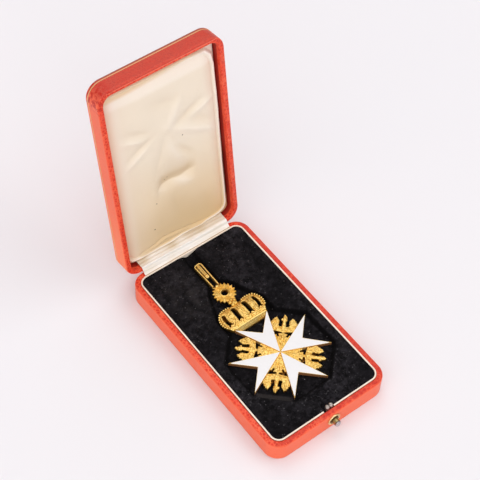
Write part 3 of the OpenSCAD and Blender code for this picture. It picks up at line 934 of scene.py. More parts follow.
# Ridges of the casting: height, half width, two ends. The feathers are on both sides
EAGLE_RIDGES = [
    (0.25, 0.4, (4.5, 0), (9, 0)), (0.5, 0.95, (18, 0), (22.6, 0)),
    (0.45, 0.5, (23.4, 0.3), (23.1, 1.7)), (0.45, 0.6, (24.4, 0), (26.2, 0)),
]
EAGLE_FEATHERS = [
    (0.3, 0.62, (17.4, 3.0), (24.2, 4.9)), (0.3, 0.62, (17.1, 3.8), (23.3, 6.1)),
    (0.3, 0.62, (16.8, 4.6), (22.0, 6.9)), (0.3, 0.62, (16.4, 5.3), (20.2, 7.4)),
    (0.3, 0.5, (13.0, 0), (9.2, 0)), (0.3, 0.5, (13.0, 0.99), (9.9, 1.1)),
    (0.3, 0.5, (13.0, 1.8), (10.9, 2.0)),
]


def tail_gap(x, side):
    """Pierced gap between the tail, the wing and the arm"""
    bar = polygon_distance(x, side, TAIL_GAP) - 0.12
    hook = line_distance(x, side, (13.3, 3.6), (11.5, 2.7)) - 0.6
    spur = line_distance(x, side, (13.0, 4.4), (12.5, 4.7)) - 0.5
    return np.minimum(np.minimum(bar, hook), spur)


def eagle_outline(x, y):
    """Plan of an eagle with the gold between the arms that it grows from"""
    side = np.abs(y)
    hollow = circle_distance(x, side, 19.35, 2.2, 1.08)
    slit = line_distance(x, side, (20, 2.1), (22.6, 2.35)) - 0.55
    body = np.maximum(polygon_distance(x, y, EAGLE_BODY), -np.minimum(hollow, slit))
    body = np.minimum(body, polygon_distance(x, y, EAGLE_HEAD) - 0.08)
    return np.maximum(body, -tail_gap(x, side))


def eagle_relief(x, y):
    """Height of the casting over its field, in millimetres"""
    side = np.abs(y)
    breast = 0.5 * ridge(np.hypot((x - 17.0) / 1.4, y), 1.7)
    head = 0.6 * ridge(np.hypot(x - 23.6, y + 0.1), 1.2)
    shoulders = 0.42 * ridge(np.hypot(x - 16.6, side - 3.2), 1.3)
    middle = [h * ridge(line_distance(x, y, a, b), w) for h, w, a, b in EAGLE_RIDGES]
    feathers = [h * ridge(line_distance(x, side, a, b), w) for h, w, a, b in EAGLE_FEATHERS]
    return np.max([breast, head, shoulders, *middle, *feathers], axis=0)


def eagle(name, turn, mirrored):
    """One cast eagle, granular all over, with coarser grain on its field"""

    def grain(x, y, size):
        return grains(x, y, size, 11 + turn + int(size * 10))

    def top(x, y, depth):
        relief = eagle_relief(x, y)
        cast = np.maximum(0.05, relief) + 0.14 * grain(x, y, 0.7)
        return face_height(x, y) - 0.75 + cast - rounded_edge(depth, 0.22)

    def shade(x, y, depth):
        # Painted light: lighter on the grains, the relief and along the edges, and painted shade between the
        # grains
        coarse, fine = grain(x, y, 0.7), grain(x, y, 0.36)
        edge = np.exp(-depth / 0.12)
        mottle = 0.16 * wave_noise(x, y, 1.1, 7 + turn)
        lit = 0.46 + 0.34 * coarse + 0.14 * fine + 0.36 * np.minimum(eagle_relief(x, y), 0.5) + mottle
        return np.clip(lit + 0.25 * edge, 0.08, 1)

    def place(points):
        points = points.copy()
        points[:, 1] *= -1 if mirrored else 1
        return in_pocket(turned(points, turn))

    return plate(name, eagle_outline, (0, -9, 27.2, 9), 0.17, top, 0.3, place, CAST_GOLD, shade,
                 wall_tone=0.05)


def centre_boss():
    """Small gold boss where the four arms meet"""
    centres = [(0, 0, POINT_H + CENTRE_RISE - 0.3)]
    return pearls("centre_boss", centres, [0.5], in_pocket, BRIGHT_GOLD)


# The crown

# It lies a little towards the latch and to the left of its plan
crown_place = moved(leaning, -0.4, -0.25)


def crown_slot(x, y):
    """The pierced gaps between the ribs"""
    side = np.abs(x)
    near = path_distance(side, y, [(4.2, 32.3), (4.2, 36), (4.0, 39.3)]) - 1.42
    near = np.minimum(near, line_distance(side, y, (3.0, 31.6), (5.5, 31.6)) - 0.5)
    far = path_distance(side, y, [(11.2, 32.4), (11.8, 34.8), (11.8, 37.3), (11.3, 39.2)]) - 1.1
    far = np.minimum(far, line_distance(side, y, (10.0, 32.2), (12.3, 32.0)) - 0.45)
    return np.minimum(near, far)


def crown_leaves(x, y):
    """The small leaf that stands at the foot of each slot"""
    side = np.abs(x)
    return np.minimum(circle_distance(side, y, 4.2, 31.0, 0.95), circle_distance(side, y, 11.1, 31.4, 0.85))


def crown_surface(x, y):
    """Front that bows from side to side and over the top"""
    side_half, side_drop, top_drop = CROWN_LOBE[0] + CROWN_LOBE_R, 1.8, 2.0
    side_r = (side_half ** 2 + side_drop ** 2) / (2 * side_drop)
    top_r = (CROWN_LOBE_R ** 2 + top_drop ** 2) / (2 * top_drop)
    over = np.maximum(y - CROWN_LOBE[1], 0)
    side = CROWN_H - side_r + np.sqrt(np.maximum(side_r ** 2 - x ** 2, 0))
    top = CROWN_H - top_r + np.sqrt(np.maximum(top_r ** 2 - over ** 2, 0))
    return np.minimum(side, top)


def slot_rim(x, y):
    """1 on the raised rims round the upper ends of the two inner slots"""
    return bell(crown_slot(x, y), 0.45, 0.42) * smooth_step(33, 37, y) * (np.abs(x) < 7)


def crown_ornament(x, y):
    """Grain, the ribs' swell and bright rims over the slots"""
    side = np.abs(x)
    grain = 0.3 * grains(x, y, 1.05, 21)
    rib = 0.3 * ridge(path_distance(side, y, [(0, 31), (0, 42.2)]), 1.7)
    rib = np.maximum(rib, 0.3 * ridge(path_distance(side, y, [(7.6, 31), (8.0, 36), (7.2, 42)]), 1.7))
    foot = 0.25 * ridge(y - 29.9, 0.9)
    return grain + np.maximum(rib, foot) + 0.75 * slot_rim(x, y)


def crown_outside(x, y):
    """Outline of the crown above its band"""
    side = np.abs(x)
    lobes = circle_distance(side, y, *CROWN_LOBE, CROWN_LOBE_R)
    body = polygon_distance(side, y, [(-1, 28.3), (12.3, 28.3), (13.3, 29.6), (14.7, 32.5), CROWN_LOBE,
                                      (5, CROWN_TOP_Y), (-1, CROWN_TOP_Y)])
    return np.minimum(lobes, body)


def crown_plan(x, y):
    slots = np.maximum(crown_slot(x, y), -crown_leaves(x, y))
    return np.maximum(crown_outside(x, y), -slots)


def crown_body():
    """Arches, ribs and the leaves along the band, one pierced casting"""

    def top(x, y, depth):
        foot = 0.65 * np.exp(-np.maximum(y - 28.3, 0) / 1.1)
        return crown_surface(x, y) - 0.35 - foot + crown_ornament(x, y) - rounded_edge(depth, 0.3)

    def shade(x, y, depth):
        # Painted shade along the outline behind the edge pearls
        border = bell(crown_outside(x, y), -0.75, 0.35) * smooth_step(30, 32, y)
        mottle = 0.14 * wave_noise(x, y, 1.3, 22)
        # Painted light: lighter on the grains, and a painted highlight on the slot rims
        lit = 0.57 + 0.46 * grains(x, y, 1.05, 21) + slot_rim(x, y)
        return np.clip(lit - 0.4 * border + mottle, 0.06, 1)

    return plate("crown_body", crown_plan, (-15.5, 27.6, 15.5, 43.4), 0.2, top, 0.6, crown_place, CAST_GOLD,
                 shade, wall_tone=0.04)


def crown_edge_pearls():
    """Pearls along the outer arches"""
    per_side, first, pitch, out, radius = 13, -30, 11.8, 0.1, 0.6
    centres = []
    for side in (-1, 1):
        for k in range(per_side):
            angle = math.radians(first + pitch * k)
            x = CROWN_LOBE[0] + (CROWN_LOBE_R + out) * math.cos(angle)
            y = CROWN_LOBE[1] + (CROWN_LOBE_R + out) * math.sin(angle)
            z = float(crown_surface(np.array(x), np.array(y)))
            centres.append((side * x, y, z + 0.05))
    return pearls("crown_edge_pearls", centres, [radius] * len(centres), crown_place, BRIGHT_GOLD)


def crown_band():
    """Band with a thin straight ridge, and a smooth slope down between the upper points"""
    notch_tan = ARM_HALF / (ARM_REACH - NOTCH_REACH)
    half_foot = (CROWN_FOOT_Y - NOTCH_REACH) * notch_tan - 0.25
    section = [
        (CROWN_FOOT_Y, 0.1), (CROWN_FOOT_Y, 1.5), (CROWN_FOOT_Y + 0.2, 1.85), (26.95, 3.15), (27.2, 3.5),
        (27.45, 3.85), (27.75, 3.98), (28.1, 3.9), (28.6, 3.5), (28.6, 0.1),
    ]
    # Painted light along the section: a painted highlight on the ridge and painted shade towards the foot
    # and the back
    tones = [0.2, 0.55, 0.8, 0.85, 0.9, 1.0, 1.0, 0.9, 0.6, 0.2]
    steps = 60
    loops = []
    for share in np.linspace(-1, 1, steps + 1):
        loop = []
        for y, z in section:
            x = share * (half_foot + (min(y, CROWN_BAND_Y) - CROWN_FOOT_Y) * notch_tan)
            bow = 0.5 * (x / 12) ** 2
            loop.append((x, y, max(z - bow * (z > 2), 0.1)))
        loops.append(loop)
    band = ring_loops("crown_band", loops, in_pocket, BRIGHT_GOLD, sharp_degrees=40,
                      shade=tones * len(loops))
    return face_outwards(band)


def crown_neck():
    """Pearls between the crown and the disc"""
    z = DISC_Z + DISC_T / 2
    balls = [
        (-2.1, 44.7, z + 0.5, 1.45), (1.0, 44.7, z + 0.5, 1.4), (-0.6, 43.2, z + 0.9, 1.5),
        (-0.5, 46.0, z + 0.2, 1.3), (-1.9, 46.7, z, 0.9), (0.9, 46.7, z, 0.9),
        (-1.8, 42.3, z + 1.0, 1.3), (0.3, 42.3, z + 1.1, 1.3),
    ]
    return pearls("crown_neck", [b[:3] for b in balls], [b[3] for b in balls], leaning, CAST_GOLD, 0.8)


# The rayed disc and the loop


def disc_outline(x, y):
    """Plan of the rays with the round hole"""
    rho, theta = np.hypot(x, y), np.arctan2(y, x)
    phase = (theta / (2 * math.pi) * RAYS) % 1
    # Each ray is steeper on one side, so that it looks hooked
    tooth = np.where(phase < 0.66, phase / 0.66, (1 - phase) / 0.34) ** 1.15
    outer = (rho - (DISC_R - 1.5 + RAY_H * tooth)) * 0.62
    return np.maximum(outer, DISC_HOLE_R + 0.1 - rho)


def disc_face(x, y):
    """The turned ring round the hole, and a low petal in line with each ray"""
    rho, theta = np.hypot(x, y), np.arctan2(y, x)
    ring = 0.45 * ridge(rho - 2.45, 0.6)
    petals = 0.1 * (0.5 + 0.5 * np.cos(theta * RAYS - 3.9)) * smooth_step(3.4, 5.0, rho)
    return ring, petals


def rayed_disc():
    """Disc with hooked rays and a turned ring, lit on the side of its lip that faces the left"""

    def top(x, y, depth):
        rho = np.hypot(x, y)
        ring, petals = disc_face(x, y)
        grain = 0.07 * grains(x, y, 0.7, 31) * smooth_step(2.6, 3.2, rho)
        chamfer = 0.9 * np.clip(2.3 - rho, 0, 0.6)
        return DISC_Z + DISC_T - 0.05 + ring + petals + grain - chamfer - 0.4 * rounded_edge(depth, 0.3)

    def shade(x, y, depth):
        ring, petals = disc_face(x, y)
        mottle = 0.2 * wave_noise(x, y, 1.8, 32)
        rho = np.hypot(x, y)
        # Painted highlight on the near side of the hole's chamfer and painted shade on its far side
        near = (-0.95 * x - 0.3 * y) / np.maximum(rho, 0.1)
        lip = 0.7 * near * smooth_step(3.0, 2.3, rho)
        return np.clip(0.56 + 0.22 * grains(x, y, 0.7, 31) + 0.4 * ring + petals + mottle + lip, 0.05, 1)

    place = moved(leaning, DISC_AT[0] - 0.25, DISC_AT[1] + 0.1)
    return plate("disc_rays", disc_outline, (-7.7, -7.7, 7.7, 7.7), 0.17, top, DISC_Z, place, CAST_GOLD,
                 shade, wall_tone=0.02)


def disc_eyelet():
    """Pearl over the post that stands in the loop"""
    x, y = DISC_AT[0] - 1, DISC_AT[1] + 6.3
    centres = [(x, y, DISC_Z + DISC_T + 0.15)] + [(x, y, z) for z in (0.9, 1.7, 2.5)]
    return pearls("disc_eyelet", centres, [1.0, 0.6, 0.6, 0.6], leaning, BRIGHT_GOLD)


def loop_outline(inset):
    """Plan of the long loop, drawn in by inset"""

    def distance(x, y):
        near, far, bevel = LOOP_HALF - 0.4, LOOP_HALF, 1.2
        right = [(far - bevel, LOOP_Y1 - inset), (far - inset, LOOP_Y1 - bevel),
                 (near - inset, LOOP_Y0 + bevel), (near - bevel, LOOP_Y0 + inset)]
        return polygon_distance(x, y, [(-cx, cy) for cx, cy in right[::-1]] + right)

    return distance


def ribs(y, pitch):
    """1 on each rib and 0 between them"""
    return 0.5 + 0.5 * np.cos(y * 2 * math.pi / pitch)


def ribbon_loop():
    """A ribbed strip on edge bent to a long loop. Its left bar is twisted, so that it shows wider"""
    outer, inner = loop_outline(0.0), loop_outline(0.9)
    low_y = DISC_AT[1] + DISC_R + 0.3
    pitch = 0.56

    def left_bar(x):
        return smooth_step(0.2, -0.4, x)

    def distance(x, y):
        ripple, left = 0.04 * ribs(y, pitch), left_bar(x)
        return np.maximum(outer(x, y) + ripple + 0.2 * left, -inner(x, y) + ripple - 0.15 * left)

    def top(x, y, depth):
        height = np.where(y < low_y, DISC_Z - 0.2, 2.8)
        return height - rounded_edge(depth, 0.25) - 0.05 * ribs(y, pitch) * left_bar(x)

    def shade(x, y, depth):
        # Painted shade on the left bar's ribs
        return 1.0 - 0.2 * ribs(y, pitch) * left_bar(x)

    return plate("loop_strip", distance, (-3, 56.5, 3, 79.4), 0.11, top, 0.02, moved(in_pocket, LOOP_X, 0),
                 BRIGHT_GOLD, shade, wall_tone=0.2)


def loop_tongue():
    """Ribbed tongue that lies in the loop and ends in a smooth drop"""
    length, half = 11.3, 1.15
    y_mid = LOOP_Y1 - 0.9 - 0.1 - length / 2
    drop = y_mid - length / 2 + 2.1

    def distance(x, y):
        return path_distance(x, y, [(0, y_mid - length / 2 + half), (0, y_mid + length / 2 - half)]) - half

    def top(x, y, depth):
        end = smooth_step(drop, drop + 0.3, y)
        return 2.85 + 0.24 * ribs(y, 0.9) * end + 0.35 * (1 - end) - rounded_edge(depth, 0.45)

    def shade(x, y, depth):
        end = smooth_step(drop, drop + 0.3, y)
        # Painted shade between the ribs
        return np.clip((0.05 + 0.85 * ribs(y, 0.9)) * end + (1 - end), 0.05, 1)

    return plate("tongue_ribs", distance, (-1.3, 65, 1.3, 79), 0.12, top, 1.7,
                 moved(in_pocket, LOOP_X - 0.1, 0), BRIGHT_GOLD, shade)


# The case


def pocket_distance(x, y):
    """Plan of the pocket, in the badge's frame"""
    clear = 1.2
    a, b = ARM_HALF + clear / 2, ARM_REACH + clear
    cross = polygon_distance(x, y, [(a, b), (-a, b), (-b, a), (-b, -a), (-a, -b), (a, -b), (b, -a), (b, a)])
    half, crown = LOOP_HALF + 0.6, CROWN_LOBE[0] + CROWN_LOBE_R + 1
    top = polygon_distance(x, y, [
        (-crown, b - 2), (-crown, CROWN_LOBE[1] + 2), (-DISC_R - 4.2, DISC_AT[1] - 3),
        (-DISC_R - 1.8, DISC_AT[1] + 4), (LOOP_X - half, DISC_AT[1] + 10), (LOOP_X - half, DISC_AT[1] + 40),
        (LOOP_X + half, DISC_AT[1] + 40), (LOOP_X + half, DISC_AT[1] + 10), (DISC_R + 0.2, DISC_AT[1] + 4),
        (DISC_R + 2.6, DISC_AT[1] - 3), (crown, CROWN_LOBE[1] + 2), (crown, b - 2)])
    return np.minimum(cross, top)


def channel_end(x, y):
    """The V that the velvet's round shoulders leave where the channel meets the back, 1 at its deepest"""
    across = np.interp(x, [-8.5, -5.2, -2.8, -1.6, 1.4, 5.6], [0, 0.15, 0.93, 1, 0.55, 0])
    return across * smooth_step(59.5, 65.5, y)


def hollows(x, y):
    """1 where the velvet is drawn down for the badge and the catch, and distance from the pocket's plan"""
    back = turned(np.stack([x - BADGE_AT[0], y - BADGE_AT[1], 0 * x], 1), -BADGE_TURN)
    pocket = pocket_distance(back[:, 0], back[:, 1])
    catch = rounded_rect_distance(x - 0.7, y + PAD_L / 2, 6, 8.4, 1)
    sunk = smooth_step(1.3, -0.7, pocket) * smooth_step(65.5, 60.5, y)
    down = np.maximum(np.maximum(sunk, channel_end(x, y)), smooth_step(0.9, -0.4, catch))
    return down, pocket


def velvet_height(x, y, depth):
    """Soft along every edge, with a border that swells against the lip"""
    down, pocket = hollows(x, y)
    soft = 0.14 * wave_noise(x, y, 9, 41) + 0.06 * wave_noise(x, y, 3, 42)
    roll = 0.7 * np.exp(-np.maximum(pocket, 0) / 2.2) * (1 - down)
    border = 0.72 * np.exp(-depth / 1.8) - rounded_edge(depth, 0.25)
    return PAD_TOP - 0.1 + soft + border - roll - POCKET_DEPTH * down * 0.985


def velvet_pile(x, y, depth):
    """The pile's shade value: a painted highlight along the pocket's edge towards the latch and painted
    light on the inner wall below it, painted shade on the pocket's other slopes and inside it, and pile
    brushed up near the hinge
    """
    pocket = hollows(x, y)[1]
    bx, by = x - BADGE_AT[0], y - BADGE_AT[1]
    foot = smooth_step(33, 38, -bx - by) * smooth_step(19, 12, np.abs(bx - by))
    # Painted highlight along the pocket's edge
    highlight = bell(pocket, 0.4, 0.7) * foot
    # Painted light on the pocket's lower inner wall
    wear_and_light = smooth_step(-4.0, -2.2, pocket) * smooth_step(0.2, -0.8, pocket) * foot
    brushed = bell(np.hypot(x + 21, (y - 42) * 0.75), 0, 12) * (0.5 + 0.5 * wave_noise(x, y, 3.5, 43))
    # Painted shade on the pocket's slopes
    slope = smooth_step(-1.4, -0.4, pocket) * smooth_step(1.8, 0.8, pocket) * (1 - foot)
    # Painted shade inside the pocket
    within = 0.3 * smooth_step(-0.6, -1.6, pocket) * (1 - wear_and_light)
    return 1 + 0.85 * slope + within - 0.6 * highlight - 0.55 * wear_and_light - 0.4 * brushed


def velvet_pad():
    """Velvet drawn over a pad and down into the pocket"""

    def outline(x, y):
        return rounded_rect_distance(x, y, PAD_W, PAD_L, PAD_R)

    return plate("velvet", outline, (-37, -67, 37, 67), 0.55, velvet_height, PAD_BASE, lambda p: p, VELVET,
                 velvet_pile, 180)


# Pulls in the lining: two ends, half width, height and the light painted on it, above 0 a painted highlight
# and below 0 painted shade. v counts from the foot
LINING_PULLS = [
    ((2, 90), (11, 105), 3.2, 1.3, 0.10), ((8, 89.5), (24, 97.5), 3.0, -1.4, -0.16),
    ((19, 90.5), (32, 96), 2.6, 1.1, 0.12), ((19, 87.5), (31, 80.5), 3.4, -1.0, -0.12),
    ((6, 87), (31, 73.5), 2.8, 1.5, 0.14), ((-9, 111), (10, 106.5), 4.5, -0.8, -0.10),
    ((-27, 93.5), (-17, 90), 2.2, 1.0, 0.10), ((-24, 98), (-12, 93), 2.6, -0.8, -0.08),
    ((-24, 81.5), (-10, 88), 2.7, -1.1, -0.14), ((-27, 75), (-13, 83.5), 2.3, 1.0, 0.10),
    ((1, 77), (7, 62), 3.2, 0.9, 0.09), ((6, 74), (15, 62), 2.4, -1.0, -0.13),
    ((-1, 84), (-9.5, 62), 3.2, -0.8, -0.07), ((2, 49), (12.5, 42.5), 3.4, 1.2, 0.16),
    ((-12, 48), (-4, 44), 3.0, 0.5, 0.05), ((0, 38), (3, 22), 4.2, -0.7, -0.14),
    ((6, 34), (10, 12), 7.0, -0.4, -0.07), ((-24, 56), (-18, 42), 4.5, -0.5, 0.0),
    ((18, 62), (30, 54), 4.0, 0.5, 0.0),
]
DEEP_FOLD = [
    (-12.5, 47), (-11, 49.3), (-8.4, 50.4), (-2.6, 51.3), (0.9, 51.2), (4, 50.3), (9, 50.3), (14, 51.6),
    (17, 53),
]
PIPING = [
    (-45, 9), (-37, 6), (-35.4, 3.6), (-32.5, 2.6), (-27, 2.2), (-16.2, 1.8), (-6.7, 1.5), (-2, 2.2),
    (1.8, 2.7), (8.5, 2.6), (16, 2.4), (26, 2.6), (30, 3.2), (32.6, 4.4), (34.4, 6.6), (35.3, 10),
    (35.3, 20), (35.3, 46), (36, 84), (36, 118), (34.8, 125), (31, 129.6), (20, 131.2), (-45, 131.2),
]
FOOT_FOLD = [
    (-30, 5.4), (-20.7, 6.0), (-16.2, 7.1), (-12.3, 9.0), (-6.5, 8.7), (2.3, 7.2), (9.6, 6.0), (20, 4.2),
]


def soft_line(t, points):
    """A line through points, with its corners eased"""
    xs, ys = zip(*points)
    return np.mean([np.interp(t + d, xs, ys) for d in (-1.8, -0.9, 0, 0.9, 1.8)], axis=0)


def lining_puff(x, v):
    """Rounded body of the board, steeper at its right edge"""
    across = smooth_step(0, np.where(x > 0, 11, 26), LINING_W / 2 - np.abs(x))
    along = smooth_step(0, np.where(v < 60, 36, 14), np.minimum(v, LINING_L - v))
    return 1.8 * across * along


def lining_pulls(x, v):
    """Height of the pulls, and the light and shade painted on them"""
    h, pale = 0 * x, 0 * x
    for a, b, w, height, tone in LINING_PULLS:
        length = math.hypot(b[0] - a[0], b[1] - a[1])
        ux, uv = (b[0] - a[0]) / length, (b[1] - a[1]) / length
        dx, dv = x - (a[0] + b[0]) / 2, v - (a[1] + b[1]) / 2
        along, across = dx * ux + dv * uv, dv * ux - dx * uv
        bump = np.exp(-(np.abs(along) / (0.58 * length)) ** 2.4 - np.abs(across / w) ** 1.7)
        h, pale = h + 0.78 * height * bump, pale + 0.5 * tone * bump
    return h, pale


def deep_fold(x, v):
    """Distance above the deep fold's crease, below 0 under it, and how strong the fold is"""
    return v - soft_line(x, DEEP_FOLD), smooth_step(16, 8, np.abs(x - 2))


def lining_creases(x, v):
    """Height of the satin, with its puff, its pulls and the deep fold, and the light and shade painted on it
    """
    puff = lining_puff(x, v)
    sx, sv = x + 0.5 * puff, v - 0.7 * puff
    h, pale = lining_pulls(sx, sv)
    over, strength = deep_fold(x, v)
    reach = np.where(over > 0, 7.5, 5.0)
    h = h - 2.4 * np.exp(-(np.abs(over) / reach) ** 1.2) * strength
    # Painted shade on the upper flank of the deep fold
    pale = pale - 0.28 * bell(over, 2.6, 4.2) * strength * smooth_step(-0.8, 0.4, over)
    h = puff + h + 0.12 * wave_noise(x, v, 12, 51) + 0.05 * wave_noise(x, v, 5, 52)
    # Painted light on the upper and left margins
    margin = 0.10 * smooth_step(119, 123, v) + 0.05 * smooth_step(-26, -32, x)
    return h, pale + margin


def foot_lines(x, v):
    """Distance above the foot's fold, how strong that fold is, and distance outside the piping"""
    within = smooth_step(-31, -25, x) * smooth_step(22, 14, x)
    return v - soft_line(x, FOOT_FOLD), within, polygon_distance(x, v, PIPING)


def foot_folds(x, v):
    """A soft fold above the hinge, the piping round the pillow, and the satin turned under outside it"""
    fold, within, out = foot_lines(x, v)
    soft = 0.45 * bell(fold, -1.9, 1.3) - 0.9 * bell(fold, 0, 0.9)
    cord = 0.7 * bell(out, -0.5, 0.7) - 0.35 * bell(out, -2.2, 0.8)
    return soft * within + cord - 1.1 * smooth_step(0.2, 1.2, out)


def foot_shade(x, v):
    """Painted shade in the fold, in the gap beside the piping and on the satin turned under outside it, and
    a painted highlight on the piping
    """
    fold, within, out = foot_lines(x, v)
    low = smooth_step(14, 8, v)
    patches = (0.24 + 0.26 * wave_noise(x, v, 8, 53)) * low
    gap = 0.75 * smooth_step(12, 16, v) * smooth_step(58, 46, v) * smooth_step(34, 35, x)
    darker = 0.14 * bell(fold, -0.5, 1.6) * within + (patches + gap) * smooth_step(0.1, 0.8, out)
    return darker - 0.2 * bell(out, -0.5, 0.6)


def lid_lining():
    """Puffed satin board with a piping round it"""

    def outline(x, y):
        return rounded_rect_distance(x, y, LINING_W, LINING_L, LINING_R)

    def top(x, y, depth):
        v = LINING_L / 2 - y
        return lining_creases(x, v)[0] + foot_folds(x, v) - rounded_edge(depth, 1.2)

    def shade(x, y, depth):
        v = LINING_L / 2 - y
        return np.clip(0.8 + lining_creases(x, v)[1] - foot_shade(x, v), 0, 1)

    def place(points):
        return opened(np.stack([points[:, 0], points[:, 1], LINING_SINK - points[:, 2]], 1))

    return plate("satin_lining", outline, (-38, -68, 38, 68), 0.42, top, -5.5, place, SATIN, shade, 180)


def catch_lugs():
    """Steel hook of the latch: two round lugs side by side"""
    centre_y, half_w, half_l = -66.1, 1.42, 1.5
    shoulder_z, dome_h, foot = 14.6, 1.35, -3.6
    turn = np.radians(np.arange(0, 360, 10))
    sizes = [(1.0, foot)]
    for a in np.radians(np.arange(0, 89, 8)):
        sizes.append((math.cos(a) ** 0.8, dome_h * math.sin(a)))
    made = []
    for x in (-0.35, 2.2):
        loops = [np.column_stack([x + half_w * r * np.cos(turn), centre_y + half_l * r * np.sin(turn),
                                  np.full(len(turn), shoulder_z + rise)]) for r, rise in sizes]
        made.append(ring_loops("lug", loops, lambda p: p, STEEL))
    return join("catch_lugs", made)


# The hinge strip's line from the pad to the lid's lining, in y and z
STRIP_LINE = [
    (67.9, 14.55), (68.7, 14.75), (69.9, 15.75), (70.9, 17.1), (71.6, 18.1), (72.4, 18.5), (73.6, 18.5),
    (75.0, 18.3), (76.2, 18.35), (78.0, 18.55),
]


def strip_line(steps):
    """Even steps along the strip's line with its corners eased: distance run, y and z"""
    nodes = np.array(STRIP_LINE)
    run = np.concatenate([[0], np.cumsum(np.hypot(*np.diff(nodes, axis=0).T))])
    s = np.linspace(0, run[-1], steps + 1)
    line = [np.interp(s, run, nodes[:, k]) for k in (0, 1)]
    for c in line * 4:
        c[1:-1] = (c[:-2] + 2 * c[1:-1] + c[2:]) / 4
    return s, *line


def strip_shade(x, s, crest):
    """Painted shade in tan patches under the lining's foot, a bright crest, painted sheen streaks below it
    and painted shade at the first edge
    """
    patches = 0.74 + 0.26 * wave_noise(x, s * 0.6, 7, 62)
    # Painted shade under the lining's foot
    under = smooth_step(0.6, 2.2, crest)
    # Painted sheen streaks
    streaks = 0.12 + 0.12 * wave_noise(x * 0.35, s * 4 + 0.25 * x, 3, 63)
    shade = (1 - under * (1 - patches)) * (1 - streaks * smooth_step(-0.2, -0.9, crest))
    # Painted shade along the first edge
    return shade * smooth_step(0.1, 0.5, s)


def hinge_strip():
    """Satin strip that bends over the two rims, with a wavy crest, and its flat size in metres"""
    half = 31.5
    across, along = 110, 48
    s, y, z = strip_line(along)
    x = np.linspace(-half, half, across + 1)
    gx, gs = np.meshgrid(x, s)
    gy, gz = np.meshgrid(x, y)[1], np.meshgrid(x, z)[1]
    wave = 0.5 * wave_noise(gx, 0 * gx, 13, 61) + 0.2 * wave_noise(gx, 0 * gx + 5, 5, 64)
    crest = gs - (5.0 + wave)
    lift = 0.32 * bell(crest, 0, 0.8) - 0.22 * bell(crest, 1.6, 0.9) + 0.12 * np.cos(gs * 2.6 + 0.08 * gx)
    lift = lift * np.clip(np.minimum(gs, s[-1] - gs) / 1.5, 0, 1)
    points = np.stack([gx.ravel(), (gy - 0.5 * lift).ravel(), (gz + lift).ravel()], 1)
    faces = band_faces(along + 1, across + 1, across)
    shade = strip_shade(gx, gs, crest)
    made = new_object("satin_strip", points, faces, STRIP_SATIN, 180, shade.ravel())
    return made, (2 * half * MM, float(s[-1]) * MM)


def rounded_rect_path(w, l, r, per_corner=14):
    """Points round a rounded rectangle"""
    out = []
    for k, (sx, sy) in enumerate(((1, 1), (-1, 1), (-1, -1), (1, -1))):
        for i in range(per_corner + 1):
            a = math.radians(90 * k + 90 * i / per_corner)
            out.append((sx * (w / 2 - r) + r * math.cos(a), sy * (l / 2 - r) + r * math.sin(a)))
    return np.array(out)


def gold_line():
    """Tooled gold line round the lid, near its back"""
    foot_r = 1.4
    loops = []
    for depth, proud in ((9.8, -0.02), (9.85, 0.06), (10.45, 0.06), (10.5, -0.02)):
        drop = max(depth - (LID_H - foot_r), 0)
        inset = foot_r - math.sqrt(foot_r ** 2 - drop ** 2) - proud
        flat = rounded_rect_path(CASE_W - 2 * inset, CASE_L - 2 * inset, CORNER_R - inset)
        loops.append(np.column_stack([flat, np.full(len(flat), depth)]))
    return face_outwards(ring_loops("gold_line", loops, opened, TOOLED_GOLD, closed=False))


# The stage


# The camera, worked out from the photograph's straight edges: place in metres, degrees and pixels
CAMERA_AT = (-0.28006, -0.32279, 0.67391)
AZIMUTH = 39.33
ELEVATION = 53.38
ROLL = 2.81
FOCAL_PIXELS = 1338.43
PHOTO_PIXELS = 480
SENSOR_W = 36


def camera_axes():
    """Directions to the right, up and forward in the picture"""
    azimuth, elevation, roll = map(math.radians, (AZIMUTH, ELEVATION, ROLL))
    forward = Vector((math.sin(azimuth) * math.cos(elevation), math.cos(azimuth) * math.cos(elevation),
                      -math.sin(elevation)))
    right = Vector((math.cos(azimuth), -math.sin(azimuth), 0))
    up = right.cross(forward)
    c, s = math.cos(roll), math.sin(roll)
    return right * c + up * s, up * c - right * s, forward


def add_camera():
    """Camera in the photograph's place"""
    right, up, forward = camera_axes()
    data = bpy.data.cameras.new("camera")
    data.sensor_width = SENSOR_W
    data.lens = SENSOR_W * FOCAL_PIXELS / PHOTO_PIXELS
    camera = bpy.data.objects.new("camera", data)
    camera.matrix_world = Matrix([(*row, at) for *row, at in zip(right, up, -forward, CAMERA_AT)]
                                 + [(0, 0, 0, 1)])
    data.clip_start, data.clip_end = 0.01, 20
    bpy.context.scene.collection.objects.link(camera)
    bpy.context.scene.camera = camera


def add_floor():
    """Pale sweep under the case"""
    m = Nodes("floor")
    cloud = m.noise(3, 2, 0.5)
    m.colour(m.mix(m.spread(cloud, 0.3, 0.7), (0.845, 0.825, 0.845), (0.855, 0.835, 0.855)))
    m.put(Roughness=0.75, Specular_IOR_Level=0.2)
    half, below = 3.0, 0.0001
    mesh = bpy.data.meshes.new("floor")
    corners = [(-half, -half, 0), (half, -half, 0), (half, half, 0), (-half, half, 0)]
    mesh.from_pydata(corners, [], [(0, 1, 2, 3)])
    mesh.materials.append(m.material)
    floor = bpy.data.objects.new("floor", mesh)
    floor.location.z = -below
    bpy.context.scene.collection.objects.link(floor)


def add_soft_sun(name, towards, angle, strength, colour):
    """Even light from a wide patch of the tent, which lies in the direction towards"""
    data = bpy.data.lights.new(name, "SUN")
    data.angle = math.radians(angle)
    data.energy = strength
    data.color = colour
    light = bpy.data.objects.new(name, data)
    light.rotation_mode = "QUATERNION"
    light.rotation_quaternion = Vector(towards).to_track_quat("Z", "Y")
    bpy.context.scene.collection.objects.link(light)


